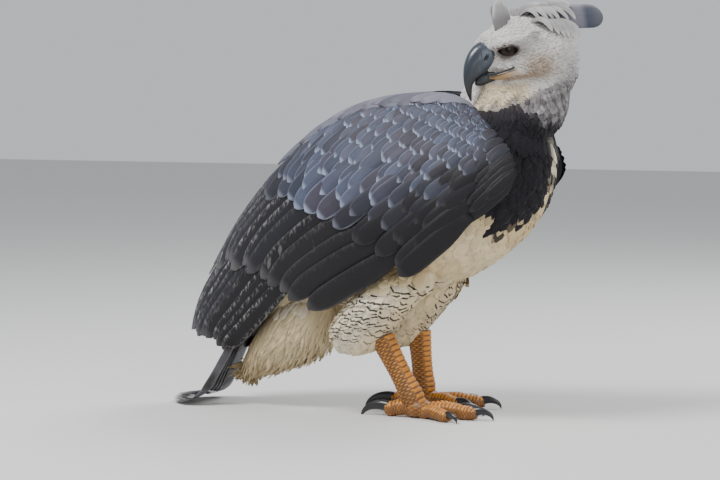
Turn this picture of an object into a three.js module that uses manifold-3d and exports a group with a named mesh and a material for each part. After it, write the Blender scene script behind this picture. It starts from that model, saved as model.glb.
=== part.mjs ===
// A life-size harpy eagle, standing on a floor with its head turned back over its right shoulder.
// Millimetres, +X towards the breast, +Y towards the bird's left, +Z up. The floor is Z = 0.
import * as THREE from "three";
import { mergeVertices } from "three/addons/utils/BufferGeometryUtils.js";
import Module from "manifold-3d";

const wasm = await Module();
wasm.setup();

// Driving sizes
const GAP = 0.3; // between pieces that touch
const SLIVER = 0.14; // detail smaller than this is dropped
const SIDES = { right: -1, left: 1 };
const HEAD_CENTRE = [188, 0, 560];
const HEAD_TURN = -133; // degrees about Z from straight ahead
const HEAD_PITCH = 4; // degrees, bill down
const HEAD_CUT = { height: -66, slope: -0.3 }; // the parting of head and neck, in the head's frame
const EYE = { at: [33, 37, 3], radius: 12.5 };
const THIGH_SLANT = 0.12; // rise of a thigh ring per length forwards
const VANE_THICKNESS = 1.3;
const TAIL_FEATHERS = 12;
const SCUTE_LIFT = 1.3; // how far the lower end of a plate on a leg or toe stands up
const TAIL_STEP = 1.75; // from each pair of tail feathers down to the next
const WING_END = 9; // the last rib's number

// Ribs of the torso: top point and bottom point (x, z), and half the width.
const TORSO_RIBS = [
  [128, 479, 236, 456, 66],
  [88, 482, 253, 405, 90],
  [20, 473, 240, 330, 102],
  [-50, 453, 188, 262, 108],
  [-115, 411, 112, 212, 107],
  [-172, 352, 20, 182, 96],
  [-214, 296, -75, 165, 78],
  [-240, 240, -150, 150, 55],
  [-254, 200, -198, 140, 36],
];

// Rings of the neck: centre x, y and z, half length and half width. The ruff stands off behind the bill.
const NECK_RINGS = [
  [182, 0, 428, 60, 70],
  [180, 4, 450, 80, 80],
  [180, 12, 474, 88, 78],
  [182, 18, 496, 88, 70],
  [186, 20, 516, 82, 62],
  [190, 20, 534, 68, 50],
];

// Ribs of the head in its own frame, from the nape to the face: x, top z, bottom z, half width.
const HEAD_RIBS = [
  [-92, 6, -34, 20],
  [-84, 30, -66, 44],
  [-66, 46, -84, 60],
  [-44, 54, -90, 64],
  [-20, 57, -90, 62],
  [4, 55, -88, 58],
  [24, 49, -84, 52],
  [40, 38, -78, 42],
  [50, 28, -72, 31],
  [58, 19, -64, 20],
];

// Ribs of the upper bill in the head's frame: top (x, z), bottom (x, z), half width.
const UPPER_BILL_RIBS = [
  [34, 22, 32, -25, 21],
  [46, 21.5, 43, -28, 20.5],
  [58, 18, 53, -31, 18.5],
  [70, 11.5, 61.5, -33.5, 15.5],
  [80, 1, 67, -36, 12.5],
  [87.5, -14, 72, -39.5, 10],
  [90.5, -30, 76, -45, 7.6],
  [90, -46, 78.5, -52, 5.2],
  [86.5, -60, 79.5, -62.5, 3],
  [81.5, -71, 80.5, -71.5, 0.8],
];
const CERE_END = 66; // x where the cere gives way to horn
const FOREHEAD = { at: [40, 0, 15], reach: [23, 25, 21] };
const BROW = {
  path: [[-4, 51, 27], [12, 48, 22], [26, 46.5, 19], [38, 41, 16], [52, 27, 11]],
  radii: [3, 5, 6.5, 6, 3],
};
// turn is how far an eye looks out from straight ahead, forward how far the lids stand off its centre.
const LIDS = { across: 15.5, tall: 9.5, rim: 3.2, turn: 65, forward: 5.5 };
const NOSTRIL = { at: [58, 18.5, -8], reach: [1.8, 4, 5.5], turn: 32 };
const MOUTH_LINE = { path: [[58, 22, -31], [48, 34, -29], [38, 43, -26], [28, 50, -23]], radius: 1.7 };
const MOUTH_OPEN = [[40, -25, 40, -46, 44], [86, -34, 80, -53, 44]]; // cleared beside the lower bill

const LOWER_BILL_RIBS = [
  [22, -22, 22, -42, 17],
  [36, -25, 36, -45, 16],
  [50, -27, 50, -47, 13],
  [60, -29, 60, -48.5, 9.5],
  [67, -33, 66, -49, 6.5],
  [71.5, -39, 71, -48, 3.5],
];

// Ribs of a folded wing: dorsal edge (x, z, y outwards), lower edge (x, z), reach outwards, bow forwards.
const WING_RIBS = [
  [150, 472, 66, 208, 326, 118, 46],
  [98, 490, 40, 176, 288, 131, 40],
  [25, 489, 28, 120, 246, 138, 20],
  [-55, 471, 24, 42, 211, 138, 6],
  [-125, 434, 20, -44, 198, 130, 0],
  [-190, 380, 15, -118, 184, 112, 0],
  [-246, 316, 10, -188, 152, 90, 0],
  [-294, 246, 8, -246, 120, 68, 0],
  [-332, 182, 8, -292, 95, 50, 0],
  [-352, 124, 10, -330, 80, 34, 0],
];
const WING_WRAP = 115; // degrees of each rib's arc from the dorsal to the lower edge

// Middle line of the tail: x and z from the rump to the tip, which lies on the floor.
const TAIL_LINE = [
  [-196, 236],
  [-244, 166],
  [-280, 104],
  [-310, 48],
  [-332, 19],
  [-380, 9.8],
];

// Undertail coverts: locks from (x, y, z) to (x, y, z), with the radius at the root, for one side.
const UNDERTAIL_CORE = { from: [-112, 0, 186], to: [-262, 0, 74], radii: [40, 50, 46, 34, 20, 8] };
const UNDERTAIL_LOCKS = [
  [[-90, 30, 190], [-166, 40, 74], 22],
  [[-110, 12, 180], [-196, 14, 56], 24],
  [[-140, 40, 170], [-226, 50, 60], 22],
  [[-160, 16, 150], [-252, 22, 30], 22],
  [[-186, 36, 150], [-272, 46, 34], 18],
  [[-150, 48, 190], [-238, 62, 92], 18],
];

// Legs: where each foot stands, the ankle and the knee (x, y outwards, z).
const LEGS = {
  right: { foot: [57, 62], ankle: [-10, 64, 106], hip: [44, 56, 236], turn: -4, slim: 1 },
  left: { foot: [22, 62], ankle: [2, 62, 106], hip: [66, 54, 236], turn: 6, slim: 0.5 },
};
// Toes: turn from straight ahead (positive outwards), length, radius and claw length.
const TOES = {
  inner: { turn: -28, length: 56, radius: 11.5, claw: 50, clawRadius: 7.6 },
  middle: { turn: 3, length: 80, radius: 11.5, claw: 42, clawRadius: 7 },
  outer: { turn: 38, length: 62, radius: 10, claw: 36, clawRadius: 6.2 },
  hind: { turn: 186, length: 44, radius: 12.5, claw: 64, clawRadius: 8.8 },
};

const COLOURS = {
  charcoal: { color: 0x33353d, roughness: 0.75 },
  cream: { color: 0xd9cdb2, roughness: 0.9 },
  greyWhite: { color: 0xcfccca, roughness: 0.9 },
  slate: { color: 0x3a4048, roughness: 0.35 },
  yellow: { color: 0xc98a24, roughness: 0.55 },
  claw: { color: 0x17181b, roughness: 0.3 },
  eye: { color: 0x24140d, roughness: 0.08 },
};

const radians = (degrees) => (degrees * Math.PI) / 180;
const mix = (a, b, t) => a + (b - a) * t;
const smooth = (a, b, x) => THREE.MathUtils.smoothstep(x, a, b);
const point = (x, y, z) => new THREE.Vector3(x, y, z);

// Catmull-Rom through the rows of a table, read at a row number that may be a fraction.
function row(table, at) {
  const last = table.length - 1;
  const i = Math.min(Math.max(Math.floor(at), 0), last - 1);
  const t = at - i;
  const pick = (k) => table[Math.min(Math.max(k, 0), last)];
  const [a, b, c, d] = [pick(i - 1), pick(i), pick(i + 1), pick(i + 2)];
  return b.map((_, k) => {
    const slopeB = (c[k] - a[k]) / 2;
    const slopeC = (d[k] - b[k]) / 2;
    const t2 = t * t;
    const t3 = t2 * t;
    const held = (2 * t3 - 3 * t2 + 1) * b[k] + (3 * t2 - 2 * t3) * c[k];
    return held + (t3 - 2 * t2 + t) * slopeB + (t3 - t2) * slopeC;
  });
}

// A closed solid from points and triangles, turned to face outwards.
function solidFrom(points, triangles) {
  const geometry = new THREE.BufferGeometry();
  const positions = points.flatMap((p) => [p.x, p.y, p.z]);
  geometry.setAttribute("position", new THREE.Float32BufferAttribute(positions, 3));
  geometry.setIndex(triangles.flat());
  const merged = mergeVertices(geometry, 1e-4);
  const kept = [];
  const index = merged.index.array;
  for (let i = 0; i < index.length; i += 3) {
    const [a, b, c] = [index[i], index[i + 1], index[i + 2]];
    if (a !== b && b !== c && a !== c) kept.push(a, b, c);
  }
  const vertProperties = new Float32Array(merged.attributes.position.array);
  const build = (triVerts) => new wasm.Manifold(new wasm.Mesh({ numProp: 3, vertProperties, triVerts }));
  const made = build(new Uint32Array(kept));
  if (made.volume() > 0) return made;
  const turned = [];
  for (let i = 0; i < kept.length; i += 3) turned.push(kept[i], kept[i + 2], kept[i + 1]);
  return build(new Uint32Array(turned));
}

const middleOf = (ring) => ring.reduce((sum, p) => sum.add(p), point(0, 0, 0)).divideScalar(ring.length);

// A solid through closed rings of equal count, with a fan at each end. grow moves both ends outwards.
function loft(rings, grow = 0) {
  const n = rings[0].length;
  [[0, 1], [rings.length - 1, rings.length - 2]].forEach(([end, next]) => {
    const outwards = middleOf(rings[end]).sub(middleOf(rings[next])).setLength(grow);
    rings[end].forEach((p) => p.add(outwards));
  });
  const points = rings.flat();
  const triangles = [];
  for (let i = 0; i + 1 < rings.length; i++)
    for (let j = 0; j < n; j++) {
      const k = (j + 1) % n;
      const [a, b, c, d] = [i * n + j, i * n + k, (i + 1) * n + j, (i + 1) * n + k];
      triangles.push([a, b, d], [a, d, c]);
    }
  [0, rings.length - 1].forEach((i) => {
    points.push(middleOf(rings[i]));
    for (let j = 0; j < n; j++) {
      const [a, b] = [i * n + j, i * n + ((j + 1) % n)];
      triangles.push(i === 0 ? [points.length - 1, b, a] : [points.length - 1, a, b]);
    }
  });
  return solidFrom(points, triangles);
}

// A solid between two grids of points of the same size, one over the other, split alike.
function slab(over, under) {
  const [rows, columns] = [over.length, over[0].length];
  const points = [...over.flat(), ...under.flat()];
  const at = (face, i, j) => face * rows * columns + i * columns + j;
  const triangles = [];
  for (let i = 0; i + 1 < rows; i++)
    for (let j = 0; j + 1 < columns; j++) {
      const corners = [[i, j], [i, j + 1], [i + 1, j + 1], [i + 1, j]];
      const [a, b, c, d] = corners.map(([m, n]) => at(0, m, n));
      const [e, f, g, h] = corners.map(([m, n]) => at(1, m, n));
      triangles.push([a, b, c], [a, c, d], [e, g, f], [e, h, g]);
    }
  const rim = [];
  for (let j = 0; j + 1 < columns; j++) rim.push([0, j]);
  for (let i = 0; i + 1 < rows; i++) rim.push([i, columns - 1]);
  for (let j = columns - 1; j > 0; j--) rim.push([rows - 1, j]);
  for (let i = rows - 1; i > 0; i--) rim.push([i, 0]);
  rim.forEach(([i, j], k) => {
    const [m, n] = rim[(k + 1) % rim.length];
    const [a, b, c, d] = [at(0, i, j), at(0, m, n), at(1, m, n), at(1, i, j)];
    triangles.push([a, d, c], [a, c, b]);
  });
  return solidFrom(points, triangles);
}

// Joins solids into one closed body, drops slivers and keeps its largest surface.
function fuse(solids) {
  const bodies = wasm.Manifold.union(solids).simplify(SLIVER).decompose();
  return bodies.reduce((best, body) => (body.volume() > best.volume() ? body : best));
}

// Cuts solids away from one, and keeps the largest body that is left.
const cutClear = (solid, others) => fuse([others.reduce((left, other) => left.subtract(other), solid)]);

const geometryOf = (solid) => {
  const mesh = solid.getMesh();
  const positions = new Float32Array(mesh.numVert * 3);
  for (let i = 0; i < mesh.numVert; i++)
    positions.set(mesh.vertProperties.subarray(i * mesh.numProp, i * mesh.numProp + 3), i * 3);
  const geometry = new THREE.BufferGeometry();
  geometry.setAttribute("position", new THREE.BufferAttribute(positions, 3));
  geometry.setIndex(new THREE.BufferAttribute(new Uint32Array(mesh.triVerts), 1));
  return geometry;
};

// An egg-shaped ring between a top and a bottom point, as wide as twice halfWidth.
function ribRing([topX, topZ, bottomX, bottomZ, halfWidth], sides, grow = 0, squareness = 1) {
  const centre = point((topX + bottomX) / 2, 0, (topZ + bottomZ) / 2);
  const half = point((topX - bottomX) / 2, 0, (topZ - bottomZ) / 2);
  const reach = half.length() + grow;
  half.normalize();
  return Array.from({ length: sides }, (_, j) => {
    const angle = (2 * Math.PI * j) / sides;
    const [c, s] = [Math.cos(angle), Math.sin(angle)];
    const out = Math.sign(s) * Math.abs(s) ** squareness * (halfWidth + grow);
    return centre.clone().addScaledVector(half, c * reach).add(point(0, out, 0));
  });
}

const steps = (count, from, to) => Array.from({ length: count }, (_, i) => mix(from, to, i / (count - 1)));

function torsoSolid(grow = 0) {
  const rings = steps(14, 0, TORSO_RIBS.length - 1).map((at) => ribRing(row(TORSO_RIBS, at), 22, grow));
  return loft(rings, grow);
}

function neckSolid(grow = 0) {
  const rings = steps(7, 0, NECK_RINGS.length - 1).map((at) => {
    const [x, y, z, halfLength, halfWidth] = row(NECK_RINGS, at);
    return Array.from({ length: 24 }, (_, j) => {
      const angle = (2 * Math.PI * j) / 24;
      return point(x + Math.cos(angle) * (halfLength + grow), y + Math.sin(angle) * (halfWidth + grow), z);
    });
  });
  return loft(rings, grow);
}

const headMatrix = new THREE.Matrix4()
  .makeTranslation(...HEAD_CENTRE)
  .multiply(new THREE.Matrix4().makeRotationZ(radians(HEAD_TURN)))
  .multiply(new THREE.Matrix4().makeRotationY(radians(HEAD_PITCH)));

// The plane that parts the head from the neck, as a world normal and offset.
function headPlane(shift) {
  const normal = point(-HEAD_CUT.slope, 0, 1).normalize();
  const through = point(0, 0, HEAD_CUT.height).applyMatrix4(headMatrix);
  normal.transformDirection(headMatrix);
  return [normal, normal.dot(through) + shift];
}

const placeInHead = (solid) => solid.transform(headMatrix.toArray());

// Stations along a limb with scutes: each plate rises to its lower end and steps back under it.
const platedSteps = (count) => [
  ...steps(count, 0, count - 1).flatMap((k) => [
    { t: k / count, lift: 0 },
    { t: (k + 0.88) / count, lift: SCUTE_LIFT },
  ]),
  { t: 1, lift: 0 },
];

// A tapering tube along points, each with its own radius.
// sideways is the way across the path, where flatten narrows it. Plates lift points that face plates.front.
function taper(path, radii, sides, sideways, flatten = 1, grow = 0, plates = null) {
  const rings = path.map((p, i) => {
    const before = path[Math.max(i - 1, 0)];
    const after = path[Math.min(i + 1, path.length - 1)];
    const along = after.clone().sub(before).normalize();
    const across = sideways.clone().addScaledVector(along, -sideways.dot(along)).normalize();
    const up = along.clone().cross(across).normalize();
    return Array.from({ length: sides }, (_, j) => {
      const angle = (2 * Math.PI * (j + 0.5)) / sides;
      const out = across.clone().multiplyScalar(Math.cos(angle)).addScaledVector(up, Math.sin(angle));
      const lift = plates ? plates.lifts[i] * smooth(0.1, 0.6, out.dot(plates.front)) : 0;
      return p
        .clone()
        .addScaledVector(across, Math.cos(angle) * (radii[i] * flatten + grow))
        .addScaledVector(up, Math.sin(angle) * (radii[i] + grow))
        .addScaledVector(out, lift);
    });
  });
  return loft(rings, grow);
}

// A solid from one of the library's closed shapes, with each point put in its place.
function solidOf(geometry, place = (p) => p) {
  geometry.deleteAttribute("normal");
  geometry.deleteAttribute("uv");
  const merged = mergeVertices(geometry, 1e-4);
  const positions = merged.attributes.position;
  const points = Array.from({ length: positions.count }, (_, i) => {
    return place(new THREE.Vector3().fromBufferAttribute(positions, i));
  });
  const triangles = [];
  for (let i = 0; i < merged.index.count; i += 3) triangles.push([...merged.index.array.slice(i, i + 3)]);
  return solidFrom(points, triangles);
}

// A ball stretched along each axis.
function ball(centre, reach, across = 12, down = 8) {
  const geometry = new THREE.SphereGeometry(1, across, down);
  geometry.scale(...reach);
  geometry.translate(...centre);
  return solidOf(geometry);
}

function headShell(grow = 0) {
  const rings = steps(12, 0, HEAD_RIBS.length - 1).map((at) => {
    const [x, top, bottom, halfWidth] = row(HEAD_RIBS, at);
    return ribRing([x, top, x, bottom, halfWidth], 20, grow);
  });
  return loft(rings, grow);
}

const billSolid = (ribs, grow, sides = 12, rings = 13) =>
  loft(steps(rings, 0, ribs.length - 1).map((at) => ribRing(row(ribs, at), sides, grow, 0.9)), grow);

const eyeBall = (side, grow) => {
  const [x, y, z] = EYE.at;
  return ball([x, y * side, z], [EYE.radius + grow, EYE.radius + grow, EYE.radius + grow], 12, 7);
};

// A vane: points along its middle with a normal and a half width each, as a thin slab.
function vane(stations, grow = 0, columns = [-1, 1]) {
  const over = [];
  const under = [];
  const ends = [stations[0].at.clone(), stations.at(-1).at.clone()];
  const along = ends[1].clone().sub(ends[0]).setLength(grow);
  ends[0].sub(along);
  ends[1].add(along);
  stations.forEach(({ at: middle, side, normal, half, thick = VANE_THICKNESS, camber = 0 }, i) => {
    const at = i === 0 ? ends[0] : i === stations.length - 1 ? ends[1] : middle;
    const reach = half + grow;
    const lift = thick / 2 + grow;
    const line = (sign) =>
      columns.map((k) =>
        at
          .clone()
          .addScaledVector(side, k * reach)
          .addScaledVector(normal, sign * lift + (k === 0 ? camber : 0)),
      );
    over.push(line(1));
    under.push(line(-1));
  });
  return slab(over, under);
}

// The half width of a feather along its length, for t from 0 at the root to 1 at the tip.
const featherHalf = (t, half) => half * Math.min(1, 0.55 + 1.6 * t) * Math.sqrt(Math.max(1 - t ** 5, 0.04));

// A point of a folded wing's outer face. rib runs from the front to the tip, wrap from 0 at the top to 1.
function wingPoint(side, rib, wrap) {
  const [topX, topZ, topY, lowX, lowZ, reach, bow] = row(WING_RIBS, Math.min(Math.max(rib, 0), WING_END));
  const angle = radians(WING_WRAP) * wrap;
  const down = (1 - Math.cos(angle)) / (1 - Math.cos(radians(WING_WRAP)));
  const forward = bow * Math.sin(Math.PI * Math.min(Math.max(down, 0), 1));
  const out = side * (topY + (reach - topY) * Math.sin(angle));
  return point(mix(topX, lowX, down) + forward, out, mix(topZ, lowZ, down));
}

function wingNormal(side, rib, wrap) {
  const small = 0.02;
  const alongRib = wingPoint(side, Math.min(rib + small, WING_END), wrap).sub(
    wingPoint(side, Math.max(rib - small, 0), wrap),
  );
  const alongWrap = wingPoint(side, rib, wrap + small).sub(wingPoint(side, rib, wrap - small));
  return alongRib.cross(alongWrap).normalize().multiplyScalar(-side);
}

// A feather that follows the wing's face from a root to a tip, each (rib, wrap), at heights over the face.
function wingFeather(side, { root, tip, half, heights, stations: count }, share, grow) {
  const between = (ends) => [mix(ends[0][0], ends[1][0], share), mix(ends[0][1], ends[1][1], share)];
  const [from, to] = [between(root), between(tip)];
  const stations = steps(count, 0, 1).map((t) => {
    const [rib, wrap] = [mix(from[0], to[0], t), mix(from[1], to[1], t)];
    const normal = wingNormal(side, rib, wrap);
    const at = wingPoint(side, rib, wrap).addScaledVector(normal, mix(heights[0], heights[1], t));
    return { at, normal, t };
  });
  stations.forEach((station, i) => {
    const before = stations[Math.max(i - 1, 0)].at;
    const after = stations[Math.min(i + 1, stations.length - 1)].at;
    const along = after.clone().sub(before).normalize();
    const turned = station.normal.clone().applyAxisAngle(along, side * FEATHER_ROLL);
    station.side = along.clone().cross(turned).normalize();
    station.normal = station.side.clone().cross(along).normalize();
    station.half = featherHalf(station.t, half);
  });
  return vane(stations, grow);
}

// Rows of feathers on a wing. Each row's roots and tips run between two (rib, wrap) ends.
const WING_ROWS = {
  primaries: {
    count: 7,
    root: [[4.6, 0.76], [4.9, 0.3]],
    tip: [[7.7, 1.02], [9, 0.3]],
    half: 18,
    heights: [-9, -4],
    stations: 5,
  },
  secondaries: {
    count: 8,
    root: [[2.6, 0.8], [4.3, 0.16]],
    tip: [[5.3, 1.05], [7.6, 0.12]],
    half: 23,
    heights: [-5, 0],
    stations: 5,
  },
  greaterCoverts: {
    count: 7,
    root: [[1.4, 0.8], [3.4, 0.26]],
    tip: [[3.2, 0.98], [5, 0.3]],
    half: 23,
    heights: [-3, 3.5],
    stations: 4,
  },
  medianCoverts: {
    count: 6,
    root: [[0.9, 0.68], [2.5, 0.28]],
    tip: [[2.2, 0.86], [3.9, 0.36]],
    half: 23,
    heights: [-3, 5],
    stations: 4,
  },
  lesserCoverts: {
    count: 5,
    root: [[0.5, 0.56], [1.6, 0.26]],
    tip: [[1.5, 0.72], [2.8, 0.38]],
    half: 21,
    heights: [-3, 5.5],
    stations: 4,
  },
  scapulars: {
    count: 4,
    root: [[1, 0.1], [3.4, 0.1]],
    tip: [[2.4, 0.2], [4.9, 0.16]],
    half: 21,
    heights: [-3, 5],
    stations: 4,
  },
};
const FEATHER_ROLL = 0.14; // how far each wing feather is turned about its shaft, in radians

function wingPad(side, grow) {
  const ribs = steps(9, 0, 5.4);
  const wraps = steps(7, 0.02, 0.98);
  const face = (depth) =>
    ribs.map((rib) =>
      wraps.map((wrap) => {
        const edge = Math.min(1, Math.min(wrap, 1 - wrap) * 5 + 0.25) * Math.min(1, rib * 1.1 + 0.25);
        const outer = 3 * (1 - edge) + smooth(2, 5.4, rib) * 6 - grow;
        const inner = mix(6, 26, edge * (1 - rib / 7)) + grow;
        const normal = wingNormal(side, Math.max(rib, 0.05), wrap);
        return wingPoint(side, rib, wrap).addScaledVector(normal, depth === 0 ? -outer : -inner);
      }),
    );
  return slab(face(0), face(1));
}

function wingSolid(side, grow = 0) {
  const pieces = [wingPad(side, grow)];
  Object.values(WING_ROWS).forEach((feathers) => {
    steps(feathers.count, 0, 1).forEach((share) => pieces.push(wingFeather(side, feathers, share, grow)));
  });
  return fuse(pieces);
}

// A point of the tail's middle line and its direction, for t from 0 at the rump to 1 at the tip.
function tailLine(t) {
  const at = (k) => row(TAIL_LINE, k * (TAIL_LINE.length - 1));
  const [x, z] = at(t);
  const [ax, az] = at(Math.max(t - 0.02, 0));
  const [bx, bz] = at(Math.min(t + 0.02, 1));
  return { at: point(x, 0, z), along: point(bx - ax, 0, bz - az).normalize() };
}

function tailSolid(grow = 0) {
  const pieces = [];
  for (let i = 0; i < TAIL_FEATHERS; i++) {
    const across = (i - (TAIL_FEATHERS - 1) / 2) / ((TAIL_FEATHERS - 1) / 2);
    const length = 1 - 0.1 * Math.abs(across) ** 2;
    const stations = steps(8, 0, length).map((t) => {
      const { at, along } = tailLine(t);
      const up = point(0, 1, 0).cross(along).normalize().negate();
      const pair = Math.abs(i - (TAIL_FEATHERS - 1) / 2) - 0.5;
      const depth = (across > 0 ? 0.8 : 0) - TAIL_STEP * pair;
      const spread = across * mix(14, 52, smooth(0, 1, t) * 0.7 + t * 0.3);
      const rolled = point(0, 1, 0);
      return {
        at: at.add(point(0, spread, 0)).addScaledVector(up, depth),
        side: rolled,
        normal: along.clone().cross(rolled).normalize(),
        half: featherHalf(t / length, 17),
      };
    });
    pieces.push(vane(stations, grow));
  }
  pieces.push(ball([-205, 0, 222], [26 + grow, 26 + grow, 30 + grow]));
  return fuse(pieces).trimByPlane([0, 0, 1], 0);
}

// A flat lock that sags between its ends.
function lockSolid([from, to, radius], side, grow) {
  const [root, tip] = [point(from[0], side * from[1], from[2]), point(to[0], side * to[1], to[2])];
  const sag = (t) => point(0, 0, -10 * Math.sin(Math.PI * t));
  const path = steps(5, 0, 1).map((t) => root.clone().lerp(tip, t).add(sag(t)));
  const radii = [0.8, 1, 0.82, 0.5, 0.08].map((share) => share * radius);
  return taper(path, radii, 5, point(0, 1, 0), 0.72, grow);
}

function undertailSolid(grow = 0) {
  const { from, to, radii } = UNDERTAIL_CORE;
  const path = steps(radii.length, 0, 1).map((t) => point(...from).lerp(point(...to), t));
  const pieces = [taper(path, radii, 10, point(0, 1, 0), 1.15, grow)];
  Object.values(SIDES).forEach((side) => {
    UNDERTAIL_LOCKS.forEach((lock) => pieces.push(lockSolid(lock, side, grow)));
  });
  return fuse(pieces);
}

// Rings of a thigh from the hip to the ankle: share of the way, shift back, half length and half width.
const THIGH_RINGS = [
  [0, 0, 34, 26],
  [0.18, 4, 52, 42],
  [0.36, 16, 60, 50],
  [0.55, 28, 62, 50],
  [0.74, 36, 58, 44],
  [0.9, 36, 48, 36],
  [1.0, 30, 38, 28],
  [1.05, 26, 24, 20],
];

function thighSolid(name, grow = 0) {
  const side = SIDES[name];
  const { ankle, hip, slim } = LEGS[name];
  const from = point(hip[0], side * hip[1], hip[2]);
  const to = point(ankle[0], side * ankle[1], ankle[2]);
  const rings = steps(9, 0, THIGH_RINGS.length - 1).map((at) => {
    const [share, back, halfLength, halfWidth] = row(THIGH_RINGS, at);
    const centre = from.clone().lerp(to, share).add(point(-back * slim, 0, 0));
    return Array.from({ length: 16 }, (_, j) => {
      const angle = (2 * Math.PI * (j + 0.5)) / 16;
      const reach = point(
        Math.cos(angle) * (halfLength * mix(1, slim, 0.5) + grow),
        Math.sin(angle) * (halfWidth + grow),
        Math.cos(angle) * halfLength * THIGH_SLANT,
      );
      return centre.clone().add(reach);
    });
  });
  return loft(rings, grow);
}

const TARSUS_RADII = [19, 18, 17, 16.5, 17, 18.5, 16];
const TOE_RADII = [1.1, 1.02, 0.94, 1, 0.93, 0.96, 0.66]; // shares of a toe's radius
const radiiAt = (radii, stations) => {
  const rows = radii.map((radius) => [radius]);
  return stations.map(({ t }) => row(rows, t * (rows.length - 1))[0]);
};

function tarsusSolid(name, grow = 0) {
  const side = SIDES[name];
  const { ankle, foot } = LEGS[name];
  const from = point(ankle[0] + 6, side * ankle[1], ankle[2] + 14);
  const to = point(foot[0] - 4, side * foot[1], 16);
  const stations = platedSteps(9);
  const path = stations.map(({ t }) => from.clone().lerp(to, t));
  const plates = { lifts: stations.map(({ lift }) => lift), front: point(1, 0, 0) };
  return taper(path, radiiAt(TARSUS_RADII, stations), 12, point(0, 1, 0), 0.9, grow, plates);
}

const footDirection = (name, turn) => radians((LEGS[name].turn + turn) * SIDES[name]);

function palmSolid(name, grow = 0) {
  const { foot } = LEGS[name];
  const pad = ball([foot[0], SIDES[name] * foot[1], 14], [22 + grow, 19 + grow, 15 + grow], 10, 6);
  return pad.trimByPlane([0, 0, 1], 1.2);
}

function toePath(name, toe) {
  const { foot } = LEGS[name];
  const { turn, length } = TOES[toe];
  const heading = footDirection(name, turn);
  const out = (distance, z) =>
    point(foot[0] + Math.cos(heading) * distance, SIDES[name] * foot[1] + Math.sin(heading) * distance, z);
  return { out, length, across: point(-Math.sin(heading), Math.cos(heading), 0) };
}

function toeSolid(name, toe, grow = 0) {
  const { out, length, across } = toePath(name, toe);
  const { radius } = TOES[toe];
  const reach = length + 12;
  const stations = platedSteps(Math.round(length / 14));
  const height = (t) => radius * (0.86 + 0.34 * Math.sin(Math.PI * Math.min(t * 1.25, 1)));
  const path = stations.map(({ t }) => out(mix(8, reach, t), height(t)));
  const radii = radiiAt(TOE_RADII, stations).map((share) => share * radius);
  const plates = { lifts: stations.map(({ lift }) => lift), front: point(0, 0, 1) };
  return taper(path, radii, 8, across, 1, grow, plates).trimByPlane([0, 0, 1], 0);
}

function clawSolid(name, toe, grow = 0) {
  const { out, length, across } = toePath(name, toe);
  const { claw, radius, clawRadius } = TOES[toe];
  const rise = radians(28);
  const bend = radians(118);
  const arc = claw / bend;
  const path = steps(6, 0, 1).map((t) => {
    const angle = bend * t - rise;
    const ahead = arc * (Math.sin(angle) + Math.sin(rise));
    return out(length + 8 + ahead, radius * 1.1 + arc * 0.66 * (Math.cos(angle) - Math.cos(rise)));
  });
  const radii = steps(6, 0, 1).map((t) => clawRadius * mix(1, 0.1, t ** 1.3));
  return taper(path, radii, 6, across, 0.8, grow).trimByPlane([0, 0, 1], 0.2);
}

// Crest feathers in the head's frame, in rows: the ends between which roots and tips run, half width,
// rise of the bow, curl of the tip and the way the flat side faces.
const CREST_ROWS = {
  longest: {
    count: 3,
    root: [[-14, 4, 44], [-12, -20, 46]],
    tip: [[-151, 10, 54], [-126, -24, 60]],
    half: 18,
    bow: 7,
    curl: 2,
    face: [0, 0.8, 0.6],
  },
  crownLeft: {
    count: 4,
    root: [[4, 20, 48], [-42, 22, 48]],
    tip: [[-40, 27, 64], [-86, 26, 58]],
    half: 11,
    bow: 9,
    curl: 7,
    face: [0, 0.62, 0.78],
  },
  templeLeft: {
    count: 4,
    root: [[-6, 40, 32], [-48, 44, 28]],
    tip: [[-50, 55, 35], [-90, 51, 25]],
    half: 11,
    bow: 9,
    curl: 7,
    face: [0, 0.9, 0.45],
  },
  crownRight: {
    count: 3,
    root: [[4, -20, 48], [-42, -22, 48]],
    tip: [[-40, -29, 64], [-86, -30, 58]],
    half: 11,
    bow: 9,
    curl: 7,
    face: [0, -0.62, 0.78],
  },
  templeRight: {
    count: 3,
    root: [[-6, -40, 32], [-48, -44, 28]],
    tip: [[-50, -55, 35], [-90, -51, 25]],
    half: 11,
    bow: 9,
    curl: 7,
    face: [0, -0.9, 0.45],
  },
  front: {
    count: 2,
    root: [[22, 16, 40], [12, -16, 44]],
    tip: [[32, 20, 76], [14, -22, 72]],
    half: 13,
    bow: -4,
    curl: -3,
    face: [0.35, 0.9, 0.1],
  },
};
const CREST_CAP = { lift: 4, at: [-14, 0, 58], reach: [56, 60, 44] }; // the plumage that carries the crest

function crestFeather({ root, tip, half, bow, curl, face }, share, grow) {
  const between = ([a, b]) => point(...a).lerp(point(...b), share);
  const [from, to] = [between(root), between(tip)];
  const along = to.clone().sub(from).normalize();
  const side = along.clone().cross(point(...face)).normalize();
  const normal = side.clone().cross(along).normalize();
  const stations = steps(4, 0, 1).map((t) => ({
    at: from.clone().lerp(to, t).addScaledVector(normal, bow * Math.sin(Math.PI * t) - curl * t ** 4),
    side,
    normal,
    half: featherHalf(t, half),
  }));
  return vane(stations, grow);
}

function crestSolid() {
  const { lift, at, reach } = CREST_CAP;
  const pieces = [headShell(lift).intersect(ball(at, reach))];
  Object.values(CREST_ROWS).forEach((feathers) => {
    steps(feathers.count, 0, 1).forEach((share) => pieces.push(crestFeather(feathers, share, 0)));
  });
  return fuse(pieces);
}

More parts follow.
